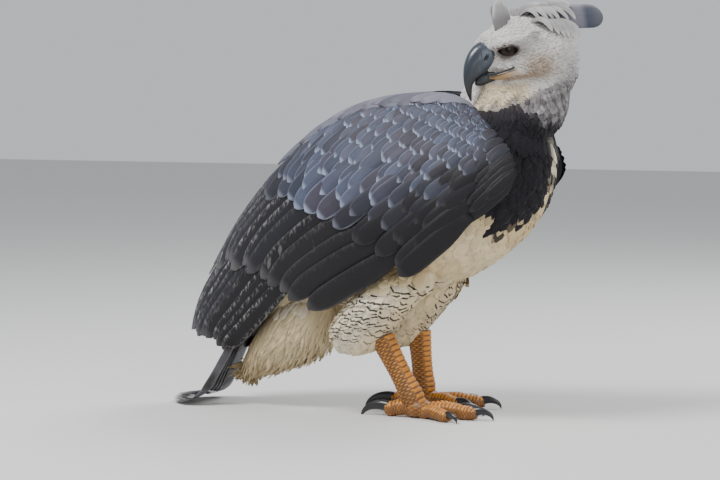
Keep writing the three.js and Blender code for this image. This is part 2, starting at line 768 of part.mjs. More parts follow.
// An oval ring about an eye, square to the way that it looks.
function lidSolid(side, grow) {
  const { across, tall, rim, turn, forward } = LIDS;
  const thick = rim + grow;
  const looks = new THREE.Matrix4().makeRotationZ(side * radians(turn));
  const at = point(EYE.at[0], EYE.at[1] * side, EYE.at[2]);
  return solidOf(new THREE.TorusGeometry(1, 0.5, 5, 14), (p) => {
    const round = Math.hypot(p.x, p.y);
    const out = 1 + (2 * (round - 1) * thick) / across;
    const local = point(forward + 2 * p.z * thick, (p.x / round) * across * out, (p.y / round) * tall * out);
    return local.applyMatrix4(looks).add(at);
  });
}

// The head with its forehead, brows and lids.
function headSolid(grow = 0) {
  const { at, reach } = FOREHEAD;
  const pieces = [headShell(grow), ball(at, reach.map((r) => r + grow))];
  Object.values(SIDES).forEach((side) => {
    const brow = BROW.path.map(([x, y, z]) => point(x, y * side, z));
    pieces.push(taper(brow, BROW.radii, 8, point(0, 0, 1), 0.8, grow), lidSolid(side, grow));
  });
  return fuse(pieces);
}

// What is cut out of the face: the lines of the mouth and the room beside the lower bill.
function mouthCuts() {
  const lines = Object.values(SIDES).map((side) => {
    const path = MOUTH_LINE.path.map(([x, y, z]) => point(x, y * side, z));
    return taper(path, path.map(() => MOUTH_LINE.radius), 5, point(0, 0, 1));
  });
  return [...lines, loft(MOUTH_OPEN.map((rib) => ribRing(rib, 12)))];
}

const nostrilCuts = () => {
  const { at, reach, turn } = NOSTRIL;
  return Object.values(SIDES).map((side) =>
    ball([0, 0, 0], reach, 8, 6).rotate([0, turn, 0]).translate([at[0], at[1] * side, at[2]]),
  );
};

// Moves a group so that the origin is the centre of its bounding box's base.
function stoodOnItsBase(group) {
  const box = new THREE.Box3().setFromObject(group);
  const centre = box.getCenter(new THREE.Vector3());
  group.children.forEach((mesh) => mesh.geometry.translate(-centre.x, -centre.y, -box.min.z));
  return group;
}

function buildBird() {
  const group = new THREE.Group();
  const add = (name, solid, colour) => {
    const mesh = new THREE.Mesh(geometryOf(solid), new THREE.MeshStandardMaterial(COLOURS[colour]));
    mesh.name = name;
    group.add(mesh);
  };

  const [planeNormal, planeOffset] = headPlane(0);
  const normalArray = planeNormal.toArray();
  const torso = torsoSolid();
  add("torso", torso, "cream");

  const headAbove = placeInHead(headShell(GAP)).trimByPlane(normalArray, planeOffset - GAP / 2);
  const faceGrown = [
    billSolid(UPPER_BILL_RIBS, GAP),
    billSolid(LOWER_BILL_RIBS, GAP, 10, 7),
    eyeBall(1, GAP),
    eyeBall(-1, GAP),
  ];
  const neck = cutClear(neckSolid(), [torsoSolid(GAP), headAbove, ...faceGrown.map(placeInHead)]);
  add("neck", neck, "greyWhite");

  const upperBill = billSolid(UPPER_BILL_RIBS, 0);
  const lowerBill = billSolid(LOWER_BILL_RIBS, 0, 10, 7);
  const face = cutClear(headSolid(), [...faceGrown, ...mouthCuts()]);
  add("head", fuse([placeInHead(face).trimByPlane(normalArray, planeOffset + GAP / 2)]), "greyWhite");
  add("crest", placeInHead(cutClear(crestSolid(), [headSolid(GAP)])), "charcoal");
  const cere = cutClear(upperBill.trimByPlane([-1, 0, 0], -CERE_END), nostrilCuts());
  const horn = upperBill.trimByPlane([1, 0, 0], CERE_END + GAP);
  add("cere", placeInHead(cere), "slate");
  add("bill_upper", placeInHead(horn), "slate");
  add("bill_lower", placeInHead(cutClear(lowerBill, [billSolid(UPPER_BILL_RIBS, GAP)])), "slate");
  Object.entries(SIDES).forEach(([name, side]) => add(`eye_${name}`, placeInHead(eyeBall(side, 0)), "eye"));

  const bodyGrown = [torsoSolid(GAP), neckSolid(GAP)];
  const tailGrown = tailSolid(GAP);
  add("tail", cutClear(tailSolid(), bodyGrown), "charcoal");
  const thighsGrown = Object.keys(SIDES).map((name) => thighSolid(name, GAP));
  add("undertail", cutClear(undertailSolid(), [...bodyGrown, tailGrown, ...thighsGrown]), "cream");
  const undertailGrown = undertailSolid(GAP);
  Object.entries(SIDES).forEach(([name, side]) => {
    const wing = cutClear(wingSolid(side), [...bodyGrown, tailGrown, undertailGrown, thighSolid(name, GAP)]);
    add(`wing_${name}`, wing, "charcoal");
    add(`thigh_${name}`, cutClear(thighSolid(name), bodyGrown), "cream");
    const tarsus = cutClear(tarsusSolid(name), [thighSolid(name, GAP)]);
    add(`tarsus_${name}`, tarsus, "yellow");
    const tarsusGrown = tarsusSolid(name, GAP);
    add(`foot_${name}`, cutClear(palmSolid(name), [tarsusGrown]), "yellow");
    const placed = [tarsusGrown, palmSolid(name, GAP)];
    Object.keys(TOES).forEach((toe) => {
      add(`toe_${name}_${toe}`, cutClear(toeSolid(name, toe), placed), "yellow");
      placed.push(toeSolid(name, toe, GAP));
      add(`claw_${name}_${toe}`, cutClear(clawSolid(name, toe), [toeSolid(name, toe, GAP)]), "claw");
    });
  });
  return stoodOnItsBase(group);
}

export default buildBird();
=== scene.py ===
"""Dresses a life-size harpy eagle: one skin, its coat of feathers, wings, tail, crest, bill, eyes and feet.

All sizes are in millimetres in the bird's own frame (+X the breast, +Y its left, +Z up, floor at 0). The
head's parts are given in the head's frame (+x towards the bill, +y its left, +z up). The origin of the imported
part lies elsewhere, so every mesh is moved by one offset and scaled to metres.
"""

import logging
import math
from dataclasses import dataclass, field, replace
from enum import Enum

import bpy
import numpy as np
from mathutils import Euler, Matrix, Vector

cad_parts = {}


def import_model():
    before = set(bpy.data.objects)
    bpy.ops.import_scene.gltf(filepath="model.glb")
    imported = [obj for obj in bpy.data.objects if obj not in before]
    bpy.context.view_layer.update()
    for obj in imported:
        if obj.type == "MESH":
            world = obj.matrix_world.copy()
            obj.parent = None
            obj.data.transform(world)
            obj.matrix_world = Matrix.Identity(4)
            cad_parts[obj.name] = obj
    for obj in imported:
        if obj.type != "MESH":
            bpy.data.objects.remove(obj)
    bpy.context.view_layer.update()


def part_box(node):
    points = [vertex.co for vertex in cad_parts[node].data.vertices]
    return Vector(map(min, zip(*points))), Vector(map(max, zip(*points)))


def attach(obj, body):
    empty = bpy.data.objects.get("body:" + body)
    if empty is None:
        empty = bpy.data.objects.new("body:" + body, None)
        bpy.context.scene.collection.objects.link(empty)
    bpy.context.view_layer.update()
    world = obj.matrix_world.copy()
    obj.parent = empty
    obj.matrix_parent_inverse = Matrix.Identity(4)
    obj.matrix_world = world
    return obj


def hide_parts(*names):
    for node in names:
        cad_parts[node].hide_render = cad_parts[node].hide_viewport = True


Array = np.ndarray
Material = bpy.types.Material
Socket = bpy.types.NodeSocket
Point = tuple[float, float, float]

LOG = logging.getLogger("harpy_eagle")
MM = 0.001
SIDES = {"right": -1, "left": 1}
UPWARDS = np.array([0, 0, 1.0])
LEFTWARDS = np.array([0, 1.0, 0])

# Shapes shared with the solids. Torso, at each rib: top x, top z, bottom x, bottom z and half width.
TORSO_RIBS = np.array([
    [128, 479, 236, 456, 66], [88, 482, 253, 405, 90], [20, 473, 240, 330, 102],
    [-50, 453, 188, 262, 108], [-115, 411, 112, 212, 107], [-172, 352, 20, 182, 96],
    [-214, 296, -75, 165, 78], [-240, 240, -150, 150, 55], [-254, 200, -198, 140, 36],
], float)
# Neck, at each level: x, y and z of the centre, half length and half width.
NECK_RINGS = np.array([
    [182, 0, 428, 60, 70], [180, 4, 450, 80, 80], [180, 12, 474, 88, 78],
    [182, 18, 496, 88, 70], [186, 20, 516, 82, 62], [190, 20, 534, 68, 50],
], float)
# Head, from the nape to the face: x, top z, bottom z and half width.
HEAD_RIBS = np.array([
    [-92, 6, -34, 20], [-84, 30, -66, 44], [-66, 46, -84, 60], [-44, 54, -90, 64], [-20, 57, -90, 62],
    [4, 55, -88, 58], [24, 49, -84, 52], [40, 38, -78, 42], [50, 28, -72, 31], [58, 19, -64, 20],
], float)
HEAD_CENTRE = np.array([188.0, 0.0, 560.0])
HEAD_TURN = math.radians(-133)
HEAD_PITCH = math.radians(4)
# Bills, from the root to the tip, with the torso's columns.
UPPER_BILL_RIBS = np.array([
    [34, 22, 32, -25, 21], [46, 21.5, 43, -28, 20.5], [58, 18, 53, -31, 18.5],
    [70, 11.5, 61.5, -33.5, 15.5], [80, 1, 67, -36, 12.5], [87.5, -14, 72, -39.5, 10],
    [90.5, -30, 76, -45, 7.6], [90, -46, 78.5, -52, 5.2], [86.5, -60, 79.5, -62.5, 3],
    [81.5, -71, 80.5, -71.5, 0.8],
], float)
LOWER_BILL_RIBS = np.array([
    [22, -22, 22, -42, 17], [36, -25, 36, -45, 16], [50, -27, 50, -47, 13],
    [60, -29, 60, -48.5, 9.5], [67, -33, 66, -49, 6.5], [71.5, -39, 71, -48, 3.5],
], float)
# Folded wing, from the wrist to the tip: x, z and y of the dorsal edge, x and z of the lower edge, the reach outwards
# and the bow forwards.
WING_RIBS = np.array([
    [150, 472, 66, 208, 326, 118, 46], [98, 490, 40, 176, 288, 131, 40], [25, 489, 28, 120, 246, 138, 20],
    [-55, 471, 24, 42, 211, 138, 6], [-125, 434, 20, -44, 198, 130, 0], [-190, 380, 15, -118, 184, 112, 0],
    [-246, 316, 10, -188, 152, 90, 0], [-294, 246, 8, -246, 120, 68, 0], [-332, 182, 8, -292, 95, 50, 0],
    [-352, 124, 10, -330, 80, 34, 0],
], float)
LAST_WING_RIB = 9
WING_WRAP = math.radians(115)
# Tail, from the rump to the tip: x and z.
TAIL_LINE = np.array([[-196, 236], [-244, 166], [-280, 104], [-310, 48], [-332, 19], [-380, 9.8]], float)
# Thigh, from hip to ankle: share of the way, shift back, half length and half width.
THIGH_RINGS = np.array([
    [0, 0, 34, 26], [0.18, 4, 52, 42], [0.36, 16, 60, 50], [0.55, 28, 62, 50],
    [0.74, 36, 58, 44], [0.9, 36, 48, 36], [1.0, 30, 38, 28], [1.05, 26, 24, 20],
], float)
THIGH_SLANT = 0.12
# In the head's frame.
EYE_AT = np.array([33.0, 37.0, 3.0])
EYE_RADIUS = 12.5
FOREHEAD_AT = np.array([40.0, 0.0, 15.0])
FOREHEAD_REACH = np.array([23.0, 25.0, 21.0])
BROW = np.array([
    [-8, 52, 28], [8, 50, 22.5], [22, 48.5, 18.5], [35, 44.5, 16], [47, 35, 13], [57, 22, 9],
], float)
BROW_RADII = (3.0, 5.0, 6.4, 6.6, 5.5, 3.0)
MOUTH_LINE = np.array([[60, 19, -32], [52, 28, -31], [45, 36.5, -29], [37, 43.5, -26], [29, 48, -23]], float)
MOUTH_FOLD = np.array([
    [56, 17, -37], [48, 29, -37], [38, 41.5, -34.5], [26, 48.0, -31], [10, 51.2, -31], [-8, 52.5, -32],
], float)
CERE_END = 66.0


class Slot(Enum):
    """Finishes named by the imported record."""

    BREAST = "breast_feathers"
    NECK = "neck_feathers"
    HEAD = "head_feathers"
    CREST = "crest_feathers"
    DARK = "dark_feathers"
    BILL = "bill"
    EYE = "eye"
    FOOT = "foot_skin"
    CLAW = "claw"


class Region(Enum):
    """Stretches of the skin whose feathers differ."""

    HEAD = "head"
    NECK = "neck"
    TORSO = "torso"
    THIGH = "thigh"
    UNDERTAIL = "undertail"


@dataclass(frozen=True)
class Leg:
    """Where a leg's joints stand, with y outwards, how far its foot turns out and how full its thigh is."""

    foot: tuple[float, float]
    ankle: Point
    hip: Point
    turn: float
    fullness: float


LEGS = {
    "right": Leg((57.0, 62.0), (-10.0, 64.0, 106.0), (44.0, 56.0, 236.0), -4, 1.0),
    "left": Leg((22.0, 62.0), (2.0, 62.0, 106.0), (66.0, 54.0, 236.0), 6, 0.5),
}


def linear(hex_code: int) -> Array:
    """Returns a display colour, given as 0xRRGGBB, in linear light."""
    srgb = np.array([(hex_code >> s & 255) / 255 for s in (16, 8, 0)])
    return np.where(srgb <= 0.04045, srgb / 12.92, ((srgb + 0.055) / 1.055) ** 2.4)


# Plumage.
WHITE_GREY = linear(0xD9D6D2)
PALE_GREY = linear(0xBDB9B8)
MID_GREY = linear(0x8B8688)
NAPE_GREY = linear(0x453F42)
BLACK_BROWN = linear(0x17141A)
CREAM = linear(0xD5C29D)
WARM_CREAM = linear(0xC9B187)
WHITE_CREAM = linear(0xDDD1BA)
TAN_FACE = linear(0x8E7C6C)
THROAT_TAN = linear(0xC8B28E)
PLUM_GREY = linear(0x3B3640)
SLATE = linear(0x22252E)
SLATE_BLUE = linear(0x41485B)
LAVENDER = linear(0x9A96A4)
PALE_BLUE = linear(0x8A92A8)
TAIL_GREY = linear(0x5A5B64)
# Bare parts.
GAPE_ORANGE = linear(0x8E6F49)
GAPE_GREY = linear(0xB5A79D)
# painted shade in the mouth's slit
MOUTH_SLIT_SHADE = linear(0x0C0A0B)
FOOT_YELLOW = linear(0xC9801F)
FOOT_BROWN = linear(0x6B431A)
CLAW_BLACK = linear(0x17161A)
HORN_BLACK = linear(0x101216)
HORN_BLUE = linear(0x272D37)
HORN_GREY = linear(0x3C434E)
# painted shade inside the nostrils
NOSTRIL_SHADE = linear(0x040404)
LOWER_BILL_BLUE = linear(0x1B1F26)
PUPIL = linear(0x040303)
IRIS = linear(0x2A160B)
EYE_RIM = linear(0x080504)
LID_DARK = linear(0x120D0C)
LID_GREY = linear(0x6E635C)


def smooth(low: float, high: float, x: Array) -> Array:
    """Returns 3t^2 - 2t^3 of x's share t of the way from low to high, held between 0 and 1."""
    t = np.clip((np.asarray(x, float) - low) / (high - low), 0, 1)
    return t * t * (3 - 2 * t)


def blend(a: Array, b: Array, t: Array) -> Array:
    """Returns a + (b - a) t, with t given one value a row."""
    return a + (b - a) * np.asarray(t, float)[..., None]


def unit(v: Array) -> Array:
    """Returns each row of v divided by its length."""
    return v / np.maximum(np.linalg.norm(v, axis=-1, keepdims=True), 1e-9)


def bump(p: Array, centre: Point, reach: Point) -> Array:
    """Returns exp(-d^2) of the points' distance d from a centre, measured in reaches along each axis."""
    d = (p - np.array(centre)) / np.array(reach)
    return np.exp(-np.sum(d * d, axis=-1))


def waves(*angles: Array) -> Array:
    """Returns 1/2 plus half the product of the angles' sines."""
    return 0.5 + 0.5 * math.prod(np.sin(angle) for angle in angles)


def round_angles(count: int) -> Array:
    """Returns so many angles, evenly spaced round a circle."""
    return np.arange(count) * 2 * math.pi / count


def folded(p: Array) -> Array:
    """Returns points with y taken as the distance from the middle plane."""
    return np.stack([p[..., 0], np.abs(p[..., 1]), p[..., 2]], -1)


def spline(table: Array, at: Array) -> Array:
    """Reads a table at fractional row numbers.

    Between rows b and c it is the cubic Hermite curve whose slopes are half the difference of their neighbours.

    Args:
        table: rows of numbers.
        at: row numbers, of any shape.

    Returns:
        The rows read, with the table's columns as a last axis.
    """
    last = len(table) - 1
    at = np.asarray(at, float)
    i = np.clip(np.floor(at), 0, last - 1).astype(int)
    t = (at - i)[..., None]
    a, b, c, d = (table[np.clip(i + k, 0, last)] for k in (-1, 0, 1, 2))
    t2, t3 = t * t, t * t * t
    return (
        (2 * t3 - 3 * t2 + 1) * b
        + (t3 - 2 * t2 + t) * (c - a) / 2
        + (3 * t2 - 2 * t3) * c
        + (t3 - t2) * (d - b) / 2
    )


def resampled(table: Array, count: int) -> Array:
    """Returns so many rows of a table's spline, evenly spaced from its first row to its last."""
    return spline(table, np.linspace(0, len(table) - 1, count))


def curve(values: tuple[float, ...], share: Array) -> Array:
    """Returns the spline through values at shares of the way from the first to the last."""
    return spline(np.array(values, float)[:, None], share * (len(values) - 1))[..., 0]


def between(ends: tuple[tuple[float, ...], tuple[float, ...]], t: Array) -> Array:
    """Returns the points at shares t, a column, of the straight way between two ends."""
    first, last = np.array(ends, float)
    return first + (last - first) * t


def turn_z(angle: float) -> Array:
    """Returns the matrix of a turn about Z."""
    c, s = math.cos(angle), math.sin(angle)
    return np.array([[c, -s, 0], [s, c, 0], [0, 0, 1.0]])


def turn_y(angle: float) -> Array:
    """Returns the matrix of a turn about Y."""
    c, s = math.cos(angle), math.sin(angle)
    return np.array([[c, 0, s], [0, 1, 0], [-s, 0, c]])


HEAD_AXES = turn_z(HEAD_TURN) @ turn_y(HEAD_PITCH)


def from_head(p: Array) -> Array:
    """Returns points of the head's frame in the bird's frame."""
    return p @ HEAD_AXES.T + HEAD_CENTRE


def to_head(p: Array) -> Array:
    """Returns points of the bird's frame in the head's frame."""
    return (p - HEAD_CENTRE) @ HEAD_AXES


def offset_to_part() -> Array:
    """Returns the mm to add to the bird's frame to reach the part's frame, read off where the eye sits."""
    low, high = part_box("eye_left")
    centre = (np.array(low) + np.array(high)) / 2 / MM
    return centre - from_head(EYE_AT[None])[0]


WING_LIE = math.radians(52)
BARB_DEPTH = 0.0003
GRAIN_DEPTH = 0.0006
UV_MAPS = {"uv": "Vane", "bake": "OFBake"}
ATTRIBUTES = {"tone": "tone", "edge": "edge_tone", "marks": "marks"}
PLAIN_LAYERS = {
    "uv": (0.5, 0.5), "bake": (0.5, 0.5), "tone": (1, 1, 1), "edge": (1, 1, 1), "marks": (0, 0, 0),
}


@dataclass
class Patchwork:
    """Grids of points gathered into one mesh, with a row of each layer for each point."""

    points: list[Array] = field(default_factory=list)
    faces: list[Array] = field(default_factory=list)
    layers: dict[str, list[Array]] = field(default_factory=lambda: {name: [] for name in PLAIN_LAYERS})
    count: int = 0

    def add(self, points: Array, faces: Array, **layers: Array) -> None:
        """Adds points and quads.

        Args:
            points: (n, 3) places in mm.
            faces: (m, 4) point numbers.
            layers: arrays with n rows or one, by the names of PLAIN_LAYERS, whose values stand in for the others.
        """
        self.points.append(points)
        self.faces.append(faces + self.count)
        for name, value in PLAIN_LAYERS.items():
            rows = np.asarray(layers.get(name, value), float)
            self.layers[name].append(np.broadcast_to(rows, (len(points), len(value))))
        self.count += len(points)

    def build(self, name: str, offset: Array, bake: bool = False) -> bpy.types.Object:
        """Makes the mesh object, in metres, in the part's frame.

        Args:
            name: the object's name.
            offset: mm from the bird's frame to the part's.
            bake: whether it carries the OFBake map.

        Returns:
            The linked object.
        """
        points = (np.concatenate(self.points) + offset) * MM
        faces = np.concatenate(self.faces).astype(np.int32)
        loops = faces.ravel()
        mesh = bpy.data.meshes.new(name)
        mesh.vertices.add(len(points))
        mesh.vertices.foreach_set("co", points.astype(np.float32).ravel())
        mesh.loops.add(len(loops))
        mesh.loops.foreach_set("vertex_index", loops)
        mesh.polygons.add(len(faces))
        mesh.polygons.foreach_set("loop_start", np.arange(0, len(loops), 4, dtype=np.int32))
        mesh.update(calc_edges=True)
        mesh.polygons.foreach_set("use_smooth", np.ones(len(faces), bool))
        rows = {key: np.concatenate(parts) for key, parts in self.layers.items()}
        for key, map_name in UV_MAPS.items():
            if key == "uv" or bake:
                layer = mesh.uv_layers.new(name=map_name)
                layer.data.foreach_set("uv", rows[key][loops].astype(np.float32).ravel())
        for key, layer_name in ATTRIBUTES.items():
            layer = mesh.attributes.new(layer_name, "FLOAT_VECTOR", "POINT")
            layer.data.foreach_set("vector", rows[key].astype(np.float32).ravel())
        mesh.validate()
        item = bpy.data.objects.new(name, mesh)
        bpy.context.scene.collection.objects.link(item)
        return item


def grid_faces(rows: int, columns: int, closed: bool = False) -> Array:
    """Returns the quads of a grid of points, numbered along its rows, joined round where closed."""
    i, j = np.meshgrid(np.arange(rows - 1), np.arange(columns if closed else columns - 1), indexing="ij")
    k = (j + 1) % columns
    low, high = i * columns, (i + 1) * columns
    return np.stack([low + j, low + k, high + k, high + j], -1).reshape(-1, 4)


def sheet_pair_faces(rows: int, columns: int) -> Array:
    """Returns the quads of two grids of points, the second turned over, joined round their rims."""
    under = rows * columns
    top = grid_faces(rows, columns)
    left = np.stack([np.arange(rows - 1), np.arange(1, rows)], -1) * columns
    first = np.stack([np.arange(columns - 1), np.arange(1, columns)], -1)
    right, last = left + columns - 1, first + (rows - 1) * columns
    rims = [np.concatenate([e, e[:, ::-1] + under], 1) for e in (left, right[:, ::-1], first[:, ::-1], last)]
    return np.concatenate([top, top[:, ::-1] + under, *rims])


def tube(rings: Array) -> tuple[Array, Array]:
    """Closes a grid of rings into a solid by shrinking its two ends to points.

    Args:
        rings: (rows, columns, 3), each row one ring.

    Returns:
        Points and quads that face outwards.
    """
    first, last = (np.broadcast_to(rings[i].mean(0), rings[i].shape) for i in (0, -1))
    grid = np.concatenate([first[None], rings, last[None]])
    points = grid.reshape(-1, 3)
    return points, outward(points, grid_faces(*grid.shape[:2], closed=True))


def signed_volume(points: Array, faces: Array) -> float:
    """Returns the sum over the quads' triangles of a . (b x c) / 6."""
    a, b, c, d = (points[faces[:, k]] for k in range(4))
    return float(np.sum(np.cross(a, b) * c) + np.sum(np.cross(a, c) * d)) / 6


def outward(points: Array, faces: Array) -> Array:
    """Returns a closed mesh's quads, turned over where they face inwards."""
    return faces if signed_volume(points, faces) > 0 else faces[:, ::-1]


def rib_rings(rib: Array, sides: int, grow: float = 0.0, squareness: float = 1.0) -> Array:
    """Places an oval between each rib's top and bottom point: half its height times cos, half its width times sin.

    Args:
        rib: (rows, 5) of top x, top z, bottom x, bottom z and half width.
        sides: points on each oval.
        grow: mm added to the oval's reach.
        squareness: the power put on the sine.

    Returns:
        (rows, sides, 3) points.
    """
    top_x, top_z, low_x, low_z, width = rib.T
    level = np.zeros(len(rib))
    top, low = np.stack([top_x, level, top_z], -1), np.stack([low_x, level, low_z], -1)
    half = (top - low) / 2
    length = np.linalg.norm(half, axis=-1, keepdims=True)
    reach = half / length * (length + grow)
    angle = round_angles(sides)
    sine = np.sign(np.sin(angle)) * np.abs(np.sin(angle)) ** squareness
    rings = ((top + low) / 2)[:, None] + reach[:, None] * np.cos(angle)[None, :, None]
    rings[..., 1] += (width[:, None] + grow) * sine[None]
    return rings


def swept(path: Array, across: Array, half_across: Array, half_up: Array, sides: int) -> Array:
    """Carries an oval along a path.

    Args:
        path: (rows, 3) its middle.
        across: the way the first half size is measured.
        half_across: (rows,) half sizes that way.
        half_up: (rows,) half sizes square to it.
        sides: points on each ring.

    Returns:
        (rows, sides, 3) points.
    """
    along = unit(np.gradient(path, axis=0))
    side = unit(across - along * (along @ across)[:, None])
    up = np.cross(along, side)
    angle = round_angles(sides)
    return (
        path[:, None]
        + side[:, None] * (half_across[:, None] * np.cos(angle))[..., None]
        + up[:, None] * (half_up[:, None] * np.sin(angle))[..., None]
    )


@dataclass
class Vanes:
    """Many feathers at once: their middles with a side, a normal and a half width at each station.

    thick is the thickness of the shaft, columns the points across a vane, mirrored whether the left edge is the
    leading one, and at the stations' shares of the length where they aren't evenly spaced.
    """

    middle: Array
    side: Array
    normal: Array
    half: Array
    camber: Array
    thick: float
    columns: int
    mirrored: bool = False
    at: Array | None = None

    rim_gap = 0.02
    bake_width = 0.003

    def sheets(self) -> Array:
        """Returns the points of the upper and the lower sheets, (n, 2 rows, columns, 3).

        A point u across and v along lies at middle + side u half + normal (camber (1 - u^2)), and its underside
        the thickness lower, which fades to nothing at the rim.
        """
        u = np.linspace(-1, 1, self.columns)
        raised = self.camber[..., None] * (1 - u**2)
        thin = (1 - u**4) * np.minimum(1, self.half / self.half.max(1, keepdims=True) * 2)[..., None]
        flat = self.middle[:, :, None] + self.side[:, :, None] * (self.half[..., None] * u)[..., None]
        heights = (raised, raised - self.thick * thin - self.rim_gap)
        return np.concatenate([flat + self.normal[:, :, None] * height[..., None] for height in heights], 1)

    def fill(
        self, patch: Patchwork, tone: Array, edge: Array, marks: Array, bake_at: Array | None = None
    ) -> None:
        """Adds each feather as a closed vane: two sheets that meet at the rim, the middle raised by the camber.

        Args:
            patch: where the mesh is gathered.
            tone: (n, 3) or (n, stations, 3) colours.
            edge: (n, 3) colours of the rim.
            marks: (n, 3) strengths of rim, bars and spots.
            bake_at: (n, 2) places of the patches on the bake map.
        """
        n, rows = self.half.shape
        columns, per = self.columns, 2 * rows * self.columns
        block = self.sheets().reshape(-1, 3)
        one = sheet_pair_faces(rows, columns)
        a, b, c = block[one[(rows - 1) * (columns - 1) // 2, :3]]
        if np.dot(np.cross(b - a, c - a), self.normal[0, rows // 2]) < 0:
            one = one[:, ::-1]
        faces = (one[None] + np.arange(n)[:, None, None] * per).reshape(-1, 4)
        stations = np.linspace(0, 1, rows) if self.at is None else self.at
        v, u = np.meshgrid(stations, np.linspace(-1, 1, columns), indexing="ij")
        uv = np.stack([u * (-0.5 if self.mirrored else 0.5) + 0.5, v], -1)
        uv = np.broadcast_to(uv, (n, 2, rows, columns, 2)).reshape(-1, 2)
        tone = tone[:, None] if tone.ndim == 2 else tone
        tone = np.broadcast_to(tone[:, None, :, None], (n, 2, rows, columns, 3)).reshape(-1, 3)
        centre = np.full((n, 2), 0.5) if bake_at is None else bake_at
        centre, edge, marks = (np.repeat(rows_of, per, axis=0) for rows_of in (centre, edge, marks))
        bake = np.clip(centre + (uv - 0.5) * self.bake_width, 0.001, 0.999)
        patch.add(block, faces, uv=uv, bake=bake, tone=tone, edge=edge, marks=marks)


def vane_outline(v: Array, shoulder: float = 0.55, root: float = 0.4, power: float = 2.2) -> Array:
    """Returns a feather's share of its half width along v: widening from the root, round past the shoulder."""
    past = np.clip((v - shoulder) / (1 - shoulder), 0, 1)
    return np.minimum(1, root + (1 - root) * smooth(0, 0.4, v)) * np.sqrt(np.maximum(1 - past**power, 0.01))


def frames_along(middle: Array, normal: Array) -> tuple[Array, Array]:
    """Returns the sides and true normals of paths, square to each path, from a rough normal at each station."""
    along = unit(np.gradient(middle, axis=1))
    side = unit(np.cross(along, normal))
    return side, np.cross(side, along)


class Network:
    """Nodes of one material, joined by short calls."""

    def __init__(self, name: str) -> None:
        """Starts an empty material."""
        self.material = bpy.data.materials.new(name)
        self.material.use_nodes = True
        self.tree = self.material.node_tree
        self.tree.nodes.clear()

    def put(self, socket: Socket, value: object) -> None:
        """Links a socket to another one, or sets its value."""
        if isinstance(value, Socket):
            self.tree.links.new(value, socket)
        else:
            socket.default_value = value

    def node(self, kind: str, **inputs: object) -> bpy.types.Node:
        """Adds a node and sets its inputs, or its settings where it has no input of that name."""
        item = self.tree.nodes.new(kind)
        for key, value in inputs.items():
            socket = item.inputs.get(key)
            if socket is None:
                setattr(item, key, value)
            else:
                self.put(socket, value)
        return item

    def maths(self, operation: str, *values: object) -> Socket:
        """Returns the result of one operation on numbers or sockets."""
        item = self.node("ShaderNodeMath", operation=operation)
        for socket, value in zip(item.inputs, values):
            self.put(socket, value)
        return item.outputs[0]

    def spread(self, value: Socket, low: float, high: float) -> Socket:
        """Returns the smooth step of a value between two limits."""
        limits = {"From Min": low, "From Max": high}
        node = self.node("ShaderNodeMapRange", interpolation_type="SMOOTHSTEP", Value=value, **limits)
        return node.outputs[0]

    def noise(self, scale: float, detail: float) -> Socket:
        """Returns noise on Object coordinates."""
        place = self.node("ShaderNodeTexCoord").outputs["Object"]
        return self.node("ShaderNodeTexNoise", Vector=place, Scale=scale, Detail=detail).outputs[0]

    def streaks(self, scale: float) -> Socket:
        """Returns noise on Object coordinates that is drawn out the way the folded wings lie."""
        place = self.node("ShaderNodeTexCoord").outputs["Object"]
        turned = self.node("ShaderNodeMapping", Vector=place, Rotation=(0, WING_LIE, 0), Scale=(1, 1, 0.35))
        return self.node("ShaderNodeTexNoise", Vector=turned.outputs[0], Scale=scale, Detail=3.0).outputs[0]

    def attribute(self, name: str) -> Socket:
        """Returns an attribute's vector."""
        return self.node("ShaderNodeAttribute", attribute_name=name).outputs["Vector"]

    def parts(self, vector: Socket) -> tuple[Socket, Socket, Socket]:
        """Returns a vector's three numbers."""
        return tuple(self.node("ShaderNodeSeparateXYZ", Vector=vector).outputs)

    def mix(self, share: Socket, a: Socket, b: Socket) -> Socket:
        """Returns the colour a share of the way from a to b."""
        item = self.node("ShaderNodeMix", data_type="RGBA")
        for number, value in ((0, share), (6, a), (7, b)):
            self.put(item.inputs[number], value)
        return item.outputs[2]

    def scaled(self, colour: Socket, factor: Socket) -> Socket:
        """Returns a colour times a number."""
        item = self.node("ShaderNodeVectorMath", operation="SCALE", Scale=factor)
        self.put(item.inputs[0], colour)
        return item.outputs[0]

    def bumped(self, height: Socket, strength: float, depth: float) -> Socket:
        """Returns the normal of a surface raised by a height, at most a depth in metres."""
        return self.node("ShaderNodeBump", Height=height, Strength=strength, Distance=depth).outputs[0]

    def finish(self, colour: Socket, **inputs: object) -> Material:
        """Joins the colour to the shader, sets its other sockets and returns the material."""
        shader = self.node("ShaderNodeBsdfPrincipled", **{"Base Color": colour}, **inputs)
        self.node("ShaderNodeOutputMaterial", Surface=shader.outputs[0])
        return self.material


